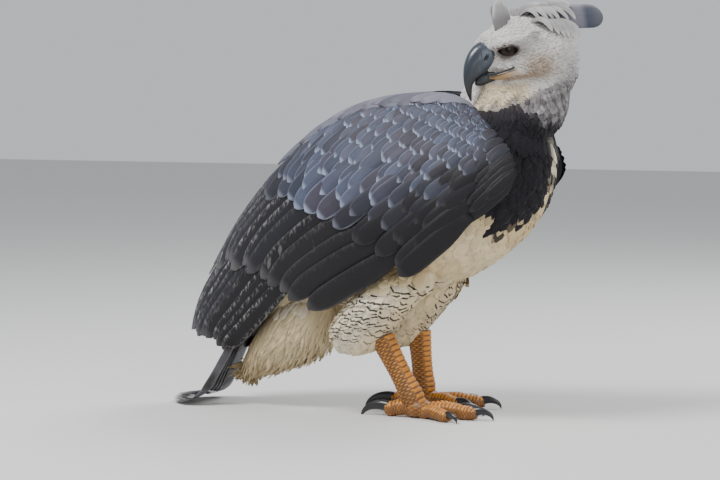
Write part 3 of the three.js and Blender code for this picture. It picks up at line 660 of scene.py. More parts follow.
@dataclass(frozen=True)
class FeatherFinish:
    """Feathers coloured by their own attributes, with pale rims, bars, spots and barbs drawn along each vane."""

    name: str
    roughness: float
    sheen: float
    barbs: float
    relief: float
    mottle: float
    rim_width: float = 0.13
    tip_from: float = 0.9
    shine: float = 0.3

    def rim(self, net: Network, across: Socket, along: Socket) -> Socket:
        """Returns the rim's strength: the lower edge, a little of the upper one, and the tip."""
        lower = net.maths("SUBTRACT", 1.0, net.spread(across, 0.02, self.rim_width))
        upper = net.maths("MULTIPLY", net.spread(across, 0.9, 1.0), 0.35)
        sides = net.maths("MULTIPLY", net.maths("MAXIMUM", lower, upper), net.spread(along, 0.3, 0.75))
        tip = net.maths("MULTIPLY", net.spread(along, self.tip_from, 0.99), 0.9)
        return net.maths("MAXIMUM", sides, tip)

    def bar(self, net: Network, u: Socket, along: Socket) -> Socket:
        """Returns the bar's strength: a narrow band past the middle of the vane, bent back and wavy."""
        wavy = net.maths("MULTIPLY_ADD", net.noise(120.0, 2.0), 0.16, 0.73)
        centre = net.maths("ADD", wavy, net.maths("MULTIPLY", u, -0.14))
        off = net.maths("ABSOLUTE", net.maths("SUBTRACT", along, centre))
        return net.maths("SUBTRACT", 1.0, net.spread(off, 0.035, 0.075))

    def spot(self, net: Network, u: Socket) -> Socket:
        """Returns the spots' strength: small flecks near the edges and a few larger blots."""
        near_rim = net.maths("MULTIPLY", net.spread(u, 0.35, 0.9), 0.75)
        flecks = net.maths("MULTIPLY", net.spread(net.streaks(280.0), 0.48, 0.62), near_rim)
        blots = net.maths("MULTIPLY", net.spread(net.streaks(80.0), 0.66, 0.72), 0.8)
        return net.maths("MAXIMUM", blots, flecks)

    def make(self) -> Material:
        """Builds the material: colour = tone, towards the rim's colour where rim, bar or spot marks say so."""
        net = Network(self.name)
        across, along, _ = net.parts(net.node("ShaderNodeUVMap", uv_map=UV_MAPS["uv"]).outputs[0])
        u = net.maths("ABSOLUTE", net.maths("MULTIPLY_ADD", across, 2.0, -1.0))
        patterns = (self.rim(net, across, along), self.bar(net, u, along), self.spot(net, u))
        marks = net.parts(net.attribute(ATTRIBUTES["marks"]))
        rim, bar, spot = (net.maths("MULTIPLY", pattern, mark) for pattern, mark in zip(patterns, marks))
        strength = net.maths("MAXIMUM", net.maths("MAXIMUM", rim, bar), spot)
        colour = net.mix(strength, net.attribute(ATTRIBUTES["tone"]), net.attribute(ATTRIBUTES["edge"]))
        grain = net.maths("MULTIPLY_ADD", net.noise(45.0, 4.0), 2 * self.mottle, 1 - self.mottle)
        shaft = net.maths("MULTIPLY_ADD", net.spread(u, 0.0, 0.05), 0.12, 0.88)
        colour = net.scaled(colour, net.maths("MULTIPLY", grain, shaft))
        rows = net.maths("MULTIPLY", along, self.barbs)
        slant = net.maths("ADD", rows, net.maths("MULTIPLY", u, -self.barbs * 0.35))
        normal = net.bumped(net.maths("SINE", slant), self.relief, BARB_DEPTH)
        settings = {"Sheen Weight": self.sheen, "Specular IOR Level": self.shine}
        return net.finish(colour, Normal=normal, Roughness=self.roughness, **settings)


@dataclass(frozen=True)
class SkinFinish:
    """Bare or downy skin, or horn, in its own colours, with a fine grain."""

    name: str
    roughness: float
    scale: float
    relief: float
    coat: float

    def make(self) -> Material:
        """Builds the material: colour = tone times a little noise, and a bump of the same noise."""
        net = Network(self.name)
        grain = net.noise(self.scale, 4.0)
        colour = net.scaled(net.attribute(ATTRIBUTES["tone"]), net.maths("MULTIPLY_ADD", grain, 0.4, 0.8))
        normal = net.bumped(grain, self.relief, GRAIN_DEPTH)
        return net.finish(colour, Normal=normal, Roughness=self.roughness, **{"Coat Weight": self.coat})


@dataclass(frozen=True)
class WetFinish:
    """An eye: smooth and wet, in its own colours."""

    name: str
    roughness: float
    shine: float

    def make(self) -> Material:
        """Builds the material."""
        net = Network(self.name)
        settings = {"Specular IOR Level": self.shine}
        return net.finish(net.attribute(ATTRIBUTES["tone"]), Roughness=self.roughness, **settings)


class Look(Enum):
    """The dressed bird's finishes."""

    SMALL = FeatherFinish("small_feathers", roughness=0.85, sheen=0.04, barbs=40.0, relief=0.15, mottle=0.1)
    LARGE = FeatherFinish("large_feathers", roughness=0.5, sheen=0.03, barbs=160.0, relief=0.3, mottle=0.22)
    CREST = FeatherFinish("crest_vanes", 0.75, 0.05, 120.0, 0.4, 0.1, rim_width=0.3, tip_from=0.72)
    DOWN = SkinFinish("downy_skin", roughness=0.8, scale=260.0, relief=0.3, coat=0.0)
    LIP = SkinFinish("bare_lip", roughness=0.55, scale=300.0, relief=0.25, coat=0.1)
    SCALES = SkinFinish("scaled_skin", roughness=0.5, scale=420.0, relief=0.2, coat=0.1)
    HORN = SkinFinish("horn", roughness=0.32, scale=60.0, relief=0.08, coat=0.25)
    WET = WetFinish("wet_eye", roughness=0.06, shine=0.22)


@dataclass(frozen=True)
class Workshop:
    """What every piece is made with: the offset to the part's frame and the finishes."""

    offset: Array
    materials: dict[Look, Material]

    def piece(
        self, patch: Patchwork, name: str, look: Look, slot: Slot, *nodes: str, bake: bool = False
    ) -> None:
        """Builds one piece of the bird.

        Args:
            patch: its mesh.
            name: its name.
            look: its finish.
            slot: the record's finish that it stands for; not used.
            nodes: the solids that it takes the place of.
            bake: whether it carries the OFBake map.
        """
        item = patch.build(name, self.offset, bake)
        item.data.materials.append(self.materials[look])
        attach(item, "root")
        if nodes:
            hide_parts(*nodes)
        LOG.info("%s: %d faces", name, len(item.data.polygons))


def ball_rings(rows: int, sides: int, hole: float) -> Array:
    """Returns a unit ball's rings about +x: (cos a, sin a cos b, sin a sin b), a from hole to pi - hole."""
    a, b = np.meshgrid(np.linspace(hole, math.pi - hole, rows), round_angles(sides), indexing="ij")
    return np.stack([np.cos(a), np.sin(a) * np.cos(b), np.sin(a) * np.sin(b)], -1)


def head_distance(h: Array) -> Array:
    """Returns how far above the parting of head and neck a point of the head's frame lies."""
    return h[:, 2] + 66 + 0.3 * h[:, 0]


def side_bump(h: Array, centre: tuple[float, float], reach: tuple[float, float]) -> Array:
    """Returns exp(-d^2) of the distance d from a centre as seen from the side, in reaches along x and z."""
    return np.exp(-np.sum(((h[:, ::2] - np.array(centre)) / np.array(reach)) ** 2, axis=1))


def chest_band(p: Array) -> Array:
    """Returns how black the breast is: a band on each side of its middle line that narrows down to a point."""
    x, y, z = folded(p).T
    wobble = 5 * np.sin(z * 0.21) + 4 * np.sin(y * 0.37 + z * 0.11)
    inner = 6 + 44 * smooth(350, 300, z) + wobble * 0.5
    outer = 150 - 80 * smooth(372, 322, z) + wobble
    beside = smooth(inner - 4, inner + 6, y) * (1 - smooth(outer - 6, outer + 6, y))
    lower = smooth(292, 304, z + wobble * 0.6)
    return np.maximum(beside * lower, smooth(412, 436, z)) * smooth(70, 110, x)


def torso_tone(p: Array, normal: Array) -> Array:
    """Returns the torso's colours: cream below, a black band on the breast and a slate back."""
    x, _, z = p.T
    tone = blend(CREAM, WARM_CREAM, waves(x * 0.031 + z * 0.023))
    tone = blend(tone, WHITE_CREAM, smooth(150, 220, x) * smooth(360, 420, z))
    tone = blend(tone, BLACK_BROWN, chest_band(p))
    mantle = blend(SLATE_BLUE, LAVENDER * 0.5, smooth(-40, 60, x) * smooth(100, 70, x))
    mantle = blend(mantle, BLACK_BROWN, smooth(80, 110, x))
    back = smooth(0.15, 0.5, normal[:, 2] - 0.25 * normal[:, 0]) * smooth(250, 330, z + 0.3 * np.abs(x))
    return blend(tone, mantle, back)


def neck_tone(p: Array) -> Array:
    """Returns the neck's colours: mottled grey behind, black-brown below, and a pale ruff beside the bill."""
    x, y, z = p.T
    patches = waves(x * 0.19 + z * 0.27, y * 0.23 - z * 0.13)
    grey = blend(NAPE_GREY, PALE_GREY, 0.05 + 0.55 * patches)
    dark = blend(BLACK_BROWN, NAPE_GREY * 0.8, smooth(455, 490, z) * (0.4 + 0.6 * patches))
    tone = blend(dark, grey, smooth(484, 506, z + 9 * patches + 26 * smooth(205, 250, x)))
    ruff = smooth(25, 75, (182 - x) * 0.8 - y * 0.1) * smooth(462, 484, z + 6 * patches)
    return blend(tone, blend(PALE_GREY, WHITE_GREY, patches), ruff)


def head_tone(h: Array) -> Array:
    """Returns the head's colours, from points of its own frame: white-grey, with one wash laid over another.

    Each wash is a mixture of two colours by a share, laid on with a strength: the nape twice, the cheek, the lore,
    the throat, the fold of the mouth, the socket and the parting with the neck, whose dark band is partly painted
    shadow under the head and partly darker grey feathers.
    """
    x, y, z = h.T
    out = np.abs(y)
    patches = waves(x * 0.31 + z * 0.17, y * 0.27 + z * 0.35)
    cheek = side_bump(h, (-6, -23), (25, 19)) * smooth(20, 40, out)
    throat = smooth(-8, 20, x) * smooth(-40, -52, z) * smooth(-14, 4, y) * smooth(62, 50, out)
    fold = np.exp(-(((z + 36 + 0.1 * (x - 10)) / 4) ** 2)) * smooth(-30, 5, x) * smooth(50, 36, x)
    socket = side_bump(h, (31, 2), (20, 10)) * smooth(20, 34, out)
    # partly painted shadow under the overhanging head, partly darker grey feathers: a band just above the parting
    # with the neck, on the head's underside
    under = smooth(12, 2, head_distance(h) + 5 * np.sin(y * 0.4)) * smooth(-30, -50, z)
    washes = (
        (MID_GREY, PALE_GREY, patches, 0.95 * smooth(-14, -62, x) * smooth(22, -45, z)),
        (NAPE_GREY, MID_GREY, patches, smooth(-30, -80, x) * smooth(-40, -70, z)),
        (TAN_FACE, TAN_FACE * 1.5, patches, 0.9 * np.clip(cheek * 1.3, 0, 1)),
        (MID_GREY, TAN_FACE, patches, 0.6 * side_bump(h, (46, -10), (13, 13))),
        (THROAT_TAN, WHITE_CREAM, patches * 0.4, 0.9 * throat),
        (GAPE_ORANGE, TAN_FACE, smooth(20, -20, x), 0.8 * fold),
        (TAN_FACE * 0.5, MID_GREY * 0.6, patches, 0.85 * socket),
        (NAPE_GREY, MID_GREY, patches * 0.6, 0.75 * under),
    )
    tone = blend(WHITE_GREY, PALE_GREY, 0.15 + 0.4 * patches)
    for one, other, share, strength in washes:
        tone = blend(tone, blend(one, other, share), strength)
    return tone


def thigh_tone(p: Array) -> Array:
    """Returns the thighs' cream, in soft warmer and paler patches."""
    return blend(WHITE_CREAM, CREAM, waves(p[:, 0] * 0.05 - p[:, 2] * 0.04))


def undertail_tone(p: Array) -> Array:
    """Returns the undertail's soft cream, browner towards the tips."""
    x, y, z = p.T
    low = smooth(170, 60, z + 0.25 * (x + 150))
    return blend(CREAM, WARM_CREAM * 0.72, np.clip(low * 0.75 + 0.25 * waves(x * 0.07 + y * 0.11), 0, 1))


def mouth_room(h: Array) -> Array:
    """Returns how far a point of the head's frame lies in the room beside the lower bill, from 0 to 1."""
    x, _, z = h.T
    near = (np.linalg.norm(h, axis=1) < HEAD_REACH).astype(float)
    line = -31 - 0.15 * np.clip(x - 58, -30, 0)
    return near * smooth(34, 46, x) * smooth(-56, -48, z) * smooth(line + 6, line, z)


# Height, centre and reach of the cheeks and the full throat, and of the sockets and hollows beside them.
HEAD_SWELLS = (
    (2.5, (-10, 58, -24), (26, 30, 18)),
    (5.0, (18, 26, -80), (34, 26, 18)),
    (-4.5, (33, 44, 2), (15, 16, 8)),
    (-3.0, (10, 56, -6), (18, 20, 9)),
    (-2.0, (6, 56, -44), (26, 20, 7)),
)
HEAD_REACH = 100
VENT_RADII = np.array([36, 43, 49, 51, 51, 49, 46, 42, 37, 31, 23, 13.0]) - 4


@dataclass
class BodySkin:
    """One closed skin over torso, neck, head, thighs and vent, fused from lofts and smoothed.

    The depths are how far it lies under the outline of the feathers, and rounds is the number of smoothing steps.
    """

    voxel: float = 3.5
    depth: float = 4.5
    head_depth: float = 3.2
    forehead_depth: float = 2.5
    rounds: int = 10
    face_from: float = 34.0

    def torso_rings(self) -> Array:
        """Returns ovals between the top and bottom of each rib."""
        return rib_rings(resampled(TORSO_RIBS, 60), 64, -self.depth)

    def neck_rings(self) -> Array:
        """Returns level ovals, each from its centre, half length and half width."""
        x, y, z, length, width = resampled(NECK_RINGS, 30).T[..., None]
        angle = round_angles(64)
        reach, out = length - self.depth, width - self.depth
        return np.stack([x + reach * np.cos(angle), y + out * np.sin(angle), z + 0 * angle], -1)

    def head_rings(self) -> Array:
        """Returns ovals from nape to face, with cheeks, sockets and throat added along the ring's reach."""
        x, top, low, width = resampled(HEAD_RIBS, 60).T
        rings = rib_rings(np.stack([x, top, x, low, width], -1), 72, -self.head_depth)
        out = unit(rings - rings.mean(1, keepdims=True))
        lift = sum(height * bump(folded(rings), centre, reach) for height, centre, reach in HEAD_SWELLS)
        return from_head(rings + out * lift[..., None])

    def thigh_rings(self, name: str) -> Array:
        """Returns leaning ovals from the hip to the ankle, each set back by the table's shift."""
        leg, side = LEGS[name], SIDES[name]
        share, back, length, width = resampled(THIGH_RINGS, 32).T[..., None]
        hip, ankle = (np.array([x, side * y, z]) for x, y, z in (leg.hip, leg.ankle))
        centre = hip + (ankle - hip) * share - np.array([1, 0, 0]) * (back * leg.fullness)
        angle = round_angles(40)
        reach = length * (1 + (leg.fullness - 1) * 0.5) - self.depth
        out = width - self.depth
        shift = [np.cos(angle) * reach, np.sin(angle) * out, np.cos(angle) * length * THIGH_SLANT]
        return centre[:, None] + np.stack(shift, -1)

    def vent_rings(self) -> Array:
        """Returns a tapering oval under the tail."""
        path = np.linspace([-112.0, 0, 178], [-250, 0, 64], len(VENT_RADII))
        return swept(path, LEFTWARDS, VENT_RADII * 1.15, VENT_RADII, 32)

    def forehead_rings(self) -> Array:
        """Returns a stretched ball over the root of the bill."""
        return from_head(FOREHEAD_AT + ball_rings(20, 32, 0.1) * (FOREHEAD_REACH - self.forehead_depth))

    def brow_rings(self, side: int) -> Array:
        """Returns a ridge that swells along the brow and overhangs the eye."""
        radius = curve(BROW_RADII, np.linspace(0, 1, 24))
        path = resampled(BROW, 24) * np.array([1, side, 1])
        return from_head(swept(path, UPWARDS, radius * 0.8, radius, 16))

    def mouth_opened(self, points: Array) -> Array:
        """Draws the face in beside the bill: y shrinks by 0.62 at the lower bill and by 0.34 behind the cere."""
        h = to_head(points)
        x, _, z = h.T
        cheek = 1 - 0.34 * smooth(34, 46, x) * smooth(9, 1, z) * smooth(-44, -34, z)
        narrow = (1 - 0.62 * mouth_room(h)) * cheek
        moved = h * np.stack([np.ones(len(h)), narrow, np.ones(len(h))], -1)
        face = (np.linalg.norm(h, axis=1) < HEAD_REACH) & (x > self.face_from)
        return np.where(face[:, None], from_head(moved), points)

    def fused(self) -> tuple[Array, Array]:
        """Joins the lofts on a voxel grid and smooths them.

        Returns:
            Points in mm and quads.
        """
        patch = Patchwork()
        lofts = [self.torso_rings(), self.neck_rings(), self.head_rings(), self.vent_rings()]
        lofts += [self.thigh_rings(name) for name in SIDES]
        lofts += [self.forehead_rings()] + [self.brow_rings(side) for side in SIDES.values()]
        for rings in lofts:
            patch.add(*tube(rings))
        rough = patch.build("rough_skin", np.zeros(3))
        modifier = rough.modifiers.new("fuse", "REMESH")
        modifier.mode = "VOXEL"
        modifier.voxel_size = self.voxel * MM
        mesh = rough.evaluated_get(bpy.context.evaluated_depsgraph_get()).to_mesh()
        points = np.zeros(len(mesh.vertices) * 3, np.float32)
        mesh.vertices.foreach_get("co", points)
        loops = np.zeros(len(mesh.loops), np.int32)
        mesh.loops.foreach_get("vertex_index", loops)
        points, faces = points.reshape(-1, 3).astype(float) / MM, loops.reshape(-1, 4)
        bpy.data.objects.remove(rough)
        return self.mouth_opened(self.smoothed(points, faces)), faces

    def smoothed(self, points: Array, faces: Array) -> Array:
        """Moves each point part of the way to the mean of its neighbours, a number of times, less on the head."""
        start, end = np.concatenate([faces[:, [k, (k + 1) % 4]] for k in range(4)]).T
        count = np.bincount(start, minlength=len(points))[:, None]
        share = np.where(points[:, 2] > 505, 0.16, 0.5)[:, None]
        for _ in range(self.rounds):
            total = np.stack([np.bincount(start, column[end], len(points)) for column in points.T], -1)
            points = points + (total / count - points) * share
        return points

    def normals(self, points: Array, faces: Array) -> Array:
        """Returns the mean of the faces' normals at each point."""
        a, b, c, d = (points[faces[:, k]] for k in range(4))
        across = np.cross(c - a, d - b)
        total = np.zeros_like(points)
        for k in range(4):
            for axis in range(3):
                total[:, axis] += np.bincount(faces[:, k], across[:, axis], len(points))
        return unit(total)


def region_masks(p: Array) -> dict[Region, Array]:
    """Returns which points belong to each stretch of the skin."""
    h = to_head(p)
    x, y, z = p.T
    head = (head_distance(h) > 0) & (np.linalg.norm(h, axis=1) < 135) & (z > 470)
    neck = ~head & (z > 448) & (x > 88)
    low = np.interp(x, TORSO_RIBS[::-1, 2], TORSO_RIBS[::-1, 3])
    vent = ~head & ~neck & (x < -93 + 0.12 * (z - 113)) & (z < np.maximum(low + 14, 150))
    thigh = ~head & ~neck & ~vent & (z < np.minimum(low + 26, 262)) & (x < 112) & (np.abs(y) > 6)
    torso = ~(head | neck | vent | thigh)
    return {
        Region.HEAD: head, Region.NECK: neck, Region.UNDERTAIL: vent, Region.THIGH: thigh, Region.TORSO: torso,
    }


def skin_tone(p: Array, normal: Array) -> Array:
    """Returns the plumage's base colour at each point, from the stretch it belongs to."""
    colours = {
        Region.HEAD: head_tone(to_head(p)),
        Region.NECK: neck_tone(p),
        Region.UNDERTAIL: undertail_tone(p),
        Region.THIGH: thigh_tone(p),
        Region.TORSO: torso_tone(p, normal),
    }
    tone = np.zeros_like(p)
    for region, mask in region_masks(p).items():
        tone[mask] = colours[region][mask]
    return tone


BODY_WAY = np.array([-0.78, 0, -0.62])
BREAST_WAY = np.array([-0.45, 0, -0.9])
NECK_WAY = np.array([-0.12, 0, -1.0])
LEG_WAY = np.array([-0.38, 0, -0.92])
VENT_WAY = np.array([-0.75, 0, -0.8])


def lie_of_coat(p: Array) -> Array:
    """Returns the way the feathers point: back over the head, down the neck, and down and back over the body."""
    x, y, z = p.T
    down = 0.55 * smooth(10, -60, to_head(p)[:, 2])[:, None] * np.array([0.2, 0, -1.6])
    head_way = unit(np.array([-1.0, 0, 0]) + down) @ HEAD_AXES.T
    vent_way = VENT_WAY + 0.25 * np.sign(y)[:, None] * LEFTWARDS
    way = blend(BODY_WAY, BREAST_WAY, smooth(60, 180, x))
    way = blend(way, NECK_WAY, smooth(430, 455, z) * smooth(70, 130, x))
    masks = region_masks(p)
    for region, other in ((Region.HEAD, head_way), (Region.THIGH, LEG_WAY), (Region.UNDERTAIL, vent_way)):
        way = np.where(masks[region][:, None], other, way)
    return way


@dataclass(frozen=True)
class CoatStyle:
    """The small feathers of one stretch of skin, in mm.

    spacing is the distance of their roots; length, half and camber are a feather's own sizes; lift, how steeply it
    rises; spread, how far its way strays, in radians; rows and columns, its points; small and gain, its size at one
    end of the stretch and what it gains by the other; growth, where, along z (or along the head's x); rim, how
    strongly its pale rim shows; droop, how far its tip hangs; slot, the record's finish.
    """

    spacing: float
    length: float
    half: float
    camber: float
    lift: float
    spread: float
    rows: int
    columns: int
    small: float
    gain: float
    growth: tuple[float, float]
    rim: float = 0.0
    droop: float = 0.0
    slot: Slot = Slot.BREAST


COAT_STYLES = {
    Region.HEAD: CoatStyle(
        3.0, 8.5, 2.2, 0.5, 0.26, 0.25, 4, 3, 0.62, 0.75, (20, -70), rim=0.3, slot=Slot.HEAD
    ),
    Region.NECK: CoatStyle(
        4.0, 13, 3.7, 0.9, 0.22, 0.26, 6, 3, 0.75, 0.35, (510, 455), rim=0.55, slot=Slot.NECK
    ),
    Region.TORSO: CoatStyle(7.0, 27, 8.2, 1.4, 0.13, 0.16, 6, 5, 0.85, 0.3, (420, 300), rim=0.2),
    Region.THIGH: CoatStyle(7.0, 25, 8.6, 1.2, 0.12, 0.12, 7, 5, 0.7, 0.4, (110, 190)),
    Region.UNDERTAIL: CoatStyle(5.0, 40, 6.4, 1.1, 0.09, 0.10, 7, 5, 0.55, 0.6, (190, 110), droop=9.0),
}
# The bare opening round the eye, seen on the left.
EYE_BARE_AT = np.array([34, 42, 1.5])
EYE_BARE_REACH = np.array([14, 20, 6.5])


@dataclass
class Coat:
    """The small feathers of one stretch of skin."""

    region: Region
    style: CoatStyle
    seed: int
    crowding: int = 7
    thick: float = 0.35
    floor: float = 3.0

    def roots(self, points: Array, faces: Array, normal: Array) -> tuple[Array, Array]:
        """Spreads roots over the skin: many random points, thinned to one in each cell of two shifted grids.

        Args:
            points: the skin's points.
            faces: its quads.
            normal: its normals.

        Returns:
            Places and normals of the roots.
        """
        draw = np.random.default_rng(self.seed)
        quads = faces[region_masks(points[faces].mean(1))[self.region]]
        a, b, c, d = (points[quads[:, k]] for k in range(4))
        area = np.linalg.norm(np.cross(c - a, d - b), axis=1) / 2
        count = int(area.sum() / self.style.spacing**2 * self.crowding)
        pick = draw.choice(len(quads), count, p=area / area.sum())
        s, t = draw.random((2, count, 1))
        shares = [(1 - s) * (1 - t), s * (1 - t), s * t, (1 - s) * t]
        place = sum(share * points[quads[pick, k]] for k, share in enumerate(shares))
        out = unit(sum(share * normal[quads[pick, k]] for k, share in enumerate(shares)))
        for shift in (0.0, 0.5):
            cell = np.floor(place / self.style.spacing * 1.05 + shift).astype(np.int64)
            kept = np.sort(np.unique(cell @ np.array([4099 * 4099, 4099, 1]), return_index=True)[1])
            place, out = place[kept], out[kept]
        kept = self.feathered(place)
        return place[kept], out[kept]

    def feathered(self, place: Array) -> Array:
        """Returns which roots grow a feather: none on the eyes, the bill's base or along the mouth."""
        h = to_head(place)
        side = folded(h)
        x, y, z = side.T
        eye = np.linalg.norm((side - EYE_BARE_AT) / EYE_BARE_REACH, axis=1) < 1
        bill = (y < 24) & (x > 45 + 0.25 * (z + 20)) & (z > -50) & (z < 8)
        line = resampled(MOUTH_LINE, 15) - 3 * UPWARDS
        off = np.linalg.norm((side[:, None] - line) / np.array([1, 2, 1]), axis=2).min(1)
        return ~(eye | bill | (off < 6) | (mouth_room(h) > 0.6))

    def fill(self, patch: Patchwork, points: Array, faces: Array, normal: Array) -> None:
        """Grows every feather.

        A feather leaves its root along the coat's lie, rises by its lift and bends back by the skin's curve:
        height = length (lift v - 0.6 lift v^2), and z falls by droop v^2.

        Args:
            patch: where the mesh is gathered.
            points: the skin's points.
            faces: its quads.
            normal: its normals.
        """
        style = self.style
        place, out = self.roots(points, faces, normal)
        n = len(place)
        draw = np.random.default_rng(self.seed + 100)
        way = lie_of_coat(place)
        way = unit(way - out * np.sum(way * out, 1)[:, None])
        way = unit(way + np.cross(way, out) * draw.normal(0, style.spread, (n, 1)))
        size = draw.uniform(0.82, 1.18, n)[:, None] * self.size_at(place)[:, None]
        length = style.length * size
        v = np.linspace(0, 1, style.rows)[None]
        lift = style.lift * draw.uniform(0.7, 1.3, (n, 1))
        height = length * (lift * v - 0.6 * lift * v**2)
        wave = draw.normal(0, 0.04, (n, 1)) * length * v**2
        middle = place[:, None] + way[:, None] * (length * v)[..., None]
        middle = middle + out[:, None] * height[..., None] + np.cross(way, out)[:, None] * wave[..., None]
        middle[..., 2] = np.maximum(middle[..., 2] - style.droop * size * v**2, self.floor)
        if self.region is Region.UNDERTAIL:
            shorter = 0.45 * smooth(-236, -262, place[:, :1])
            middle = middle - (middle - place[:, None]) * shorter[..., None]
        side, square = frames_along(middle, np.broadcast_to(out[:, None], middle.shape))
        half = style.half * size * self.outline(v)
        tone = skin_tone(place, out) * draw.uniform(0.86, 1.1, (n, 1))
        bars = self.bars(place)
        edge = np.where(bars[:, None] > 0.05, BLACK_BROWN, np.minimum(tone * 1.9 + 0.03, 0.85))
        marks = np.stack([np.full(n, style.rim), bars, np.zeros(n)], -1)
        camber = np.broadcast_to(style.camber * size, half.shape)
        vanes = Vanes(middle, side, square, half, camber, self.thick, style.columns)
        vanes.fill(patch, tone, edge, marks, self.unwrapped(place))

    def outline(self, v: Array) -> Array:
        """Returns the half width's share along v: round, or drawn out to a wisp under the tail."""
        if self.region is Region.UNDERTAIL:
            return np.clip(0.5 + 1.4 * v, 0, 1) * np.sqrt(np.clip(1 - v**2.4, 0.01, 1))
        return vane_outline(v)

    def size_at(self, place: Array) -> Array:
        """Returns how large the feathers are along their stretch: small round the face, larger behind."""
        style = self.style
        if self.region is Region.HEAD:
            x, _, z = to_head(place).T
            return style.small + style.gain * smooth(*style.growth, x) + 0.2 * smooth(-40, -80, z)
        return style.small + style.gain * smooth(*style.growth, place[:, 2])

    def bars(self, place: Array) -> Array:
        """Returns the strength of each feather's dark bar: most of the outer thigh's, and a few on the flank."""
        x, y, z = folded(place).T
        if self.region is Region.THIGH:
            stretch = smooth(16, 40, y) * smooth(116, 134, z) * smooth(-92, -78, x) * smooth(106, 88, x)
            barred, strength = 0.88, 0.95
        elif self.region is Region.TORSO:
            stretch = smooth(215, 250, z) * smooth(300, 268, z) * smooth(10, 40, x) * smooth(125, 90, x)
            barred, strength = 0.1, 1.0
        else:
            return np.zeros(len(place))
        draw = np.random.default_rng(self.seed + 7)
        return stretch * draw.choice([0.0, strength], len(place), p=[1 - barred, barred])

    def unwrapped(self, place: Array) -> Array:
        """Returns each root's place on a map of the skin: the angle round its axis, and the way along it."""
        x, y, z = place.T
        if self.region is Region.HEAD:
            x, y, z = to_head(place).T
            turn, along = np.arctan2(y, z + 16), (x + 100) / 170
        elif self.region is Region.NECK:
            turn, along = np.arctan2(y - 12, x - 182), (z - 430) / 120
        elif self.region is Region.THIGH:
            turn = np.arctan2(np.abs(y) - 58, x - 10) / 2 + np.sign(y) * math.pi / 2
            along = (z - 90) / 190
        else:
            turn, along = np.arctan2(y, z - 320 + 0.3 * x), (x + 300) / 570
        return 0.02 + 0.96 * np.stack([turn / (2 * math.pi) + 0.5, np.clip(along, 0, 1)], -1)


@dataclass
class Body:
    """The skin and the coat of each of its stretches."""

    skin: BodySkin = field(default_factory=BodySkin)
    shade: float = 0.8

    def build(self, shop: Workshop) -> None:
        """Builds the skin and the coats."""
        points, faces = self.skin.fused()
        normal = self.skin.normals(points, faces)
        if signed_volume(points, faces) < 0:
            faces, normal = faces[:, ::-1], -normal
        patch = Patchwork()
        patch.add(points, faces, tone=skin_tone(points, normal) * self.shade)
        nodes = ("torso", "neck", "head", "undertail", "thigh_right", "thigh_left")
        shop.piece(patch, "body_skin", Look.DOWN, Slot.BREAST, *nodes)
        for seed, (region, style) in enumerate(COAT_STYLES.items(), start=1):
            patch = Patchwork()
            Coat(region, style, seed).fill(patch, points, faces, normal)
            shop.piece(patch, f"coat_{region.value}", Look.SMALL, style.slot, bake=True)


def wing_point(side: float, rib: Array, wrap: Array) -> Array:
    """Returns points of a folded wing's outer face.

    Each rib is an arc from the dorsal edge round to the lower edge: the share of the way down is
    (1 - cos a) / (1 - cos wrap angle) and the reach outwards grows with sin a.

    Args:
        side: -1 right, 1 left.
        rib: rib numbers from the wrist to the tip.
        wrap: 0 at the dorsal edge to 1 at the lower edge.

    Returns:
        Points with the arrays' shape and a last axis of 3.
    """
    rows = spline(WING_RIBS, np.clip(rib, 0, LAST_WING_RIB))
    top_x, top_z, top_y, low_x, low_z, reach, bow = np.moveaxis(rows, -1, 0)
    angle = WING_WRAP * wrap
    down = (1 - np.cos(angle)) / (1 - math.cos(WING_WRAP))
    x = top_x + (low_x - top_x) * down + bow * np.sin(math.pi * np.clip(down, 0, 1))
    y = side * (top_y + (reach - top_y) * np.sin(angle))
    return np.stack([x, y, top_z + (low_z - top_z) * down], -1)


def wing_normal(side: float, rib: Array, wrap: Array, step: float = 0.02) -> Array:
    """Returns the outward normal of a folded wing's face, from differences along both parameters."""
    low, high = np.maximum(rib - step, 0), np.minimum(rib + step, LAST_WING_RIB)
    along = wing_point(side, high, wrap) - wing_point(side, low, wrap)
    down = wing_point(side, rib, wrap + step) - wing_point(side, rib, wrap - step)
    return unit(np.cross(along, down)) * -side


@dataclass(frozen=True)
class WingRow:
    """One row of a wing's feathers, each pair of values at its first and its last feather.

    root and tip are (rib, wrap), half is the half width and heights are the height over the face at root and tip.
    rim and spots are strengths, loose says how unevenly the feathers lie, and mantle how pale they are.
    """

    count: int
    root: tuple[tuple[float, float], tuple[float, float]]
    tip: tuple[tuple[float, float], tuple[float, float]]
    half: tuple[float, float]
    heights: tuple[float, float]
    rim: float
    spots: float = 0.0
    loose: float = 1.0
    mantle: float = 0.0


FLIGHT_ROWS = (
    WingRow(10, ((4.4, 0.82), (4.9, 0.26)), ((7.9, 1.08), (9, 0.34)), (15, 12), (-9, -4), 0.3, 1.0, 0.5),
    WingRow(14, ((2.4, 0.84), (4.2, 0.10)), ((5.1, 1.07), (7.6, 0.10)), (19, 18), (-5, -1), 0.35, 0.8, 0.5),
)
WRIST_ROWS = tuple(
    WingRow(16, ((rib, 0.14), (rib, 0.74)), ((rib + 0.5, 0.22), (rib + 0.95, 0.84)), (7, 8), (0, 3.0), 0.6)
    for rib in (0.35, 0.0)
)
MANTLE_ROWS = (
    WingRow(9, ((0.5, 0.0), (3.0, 0.02)), ((2.1, 0.2), (4.9, 0.12)), (13, 14), (-1, 4.5), 0.5, mantle=0.8),
    WingRow(10, ((0.1, 0.02), (2.3, 0.0)), ((1.3, 0.22), (3.8, 0.08)), (9, 14), (0, 6.0), 0.35, mantle=1.0),
)
WING_SEEDS = {"right": 40, "left": 140}


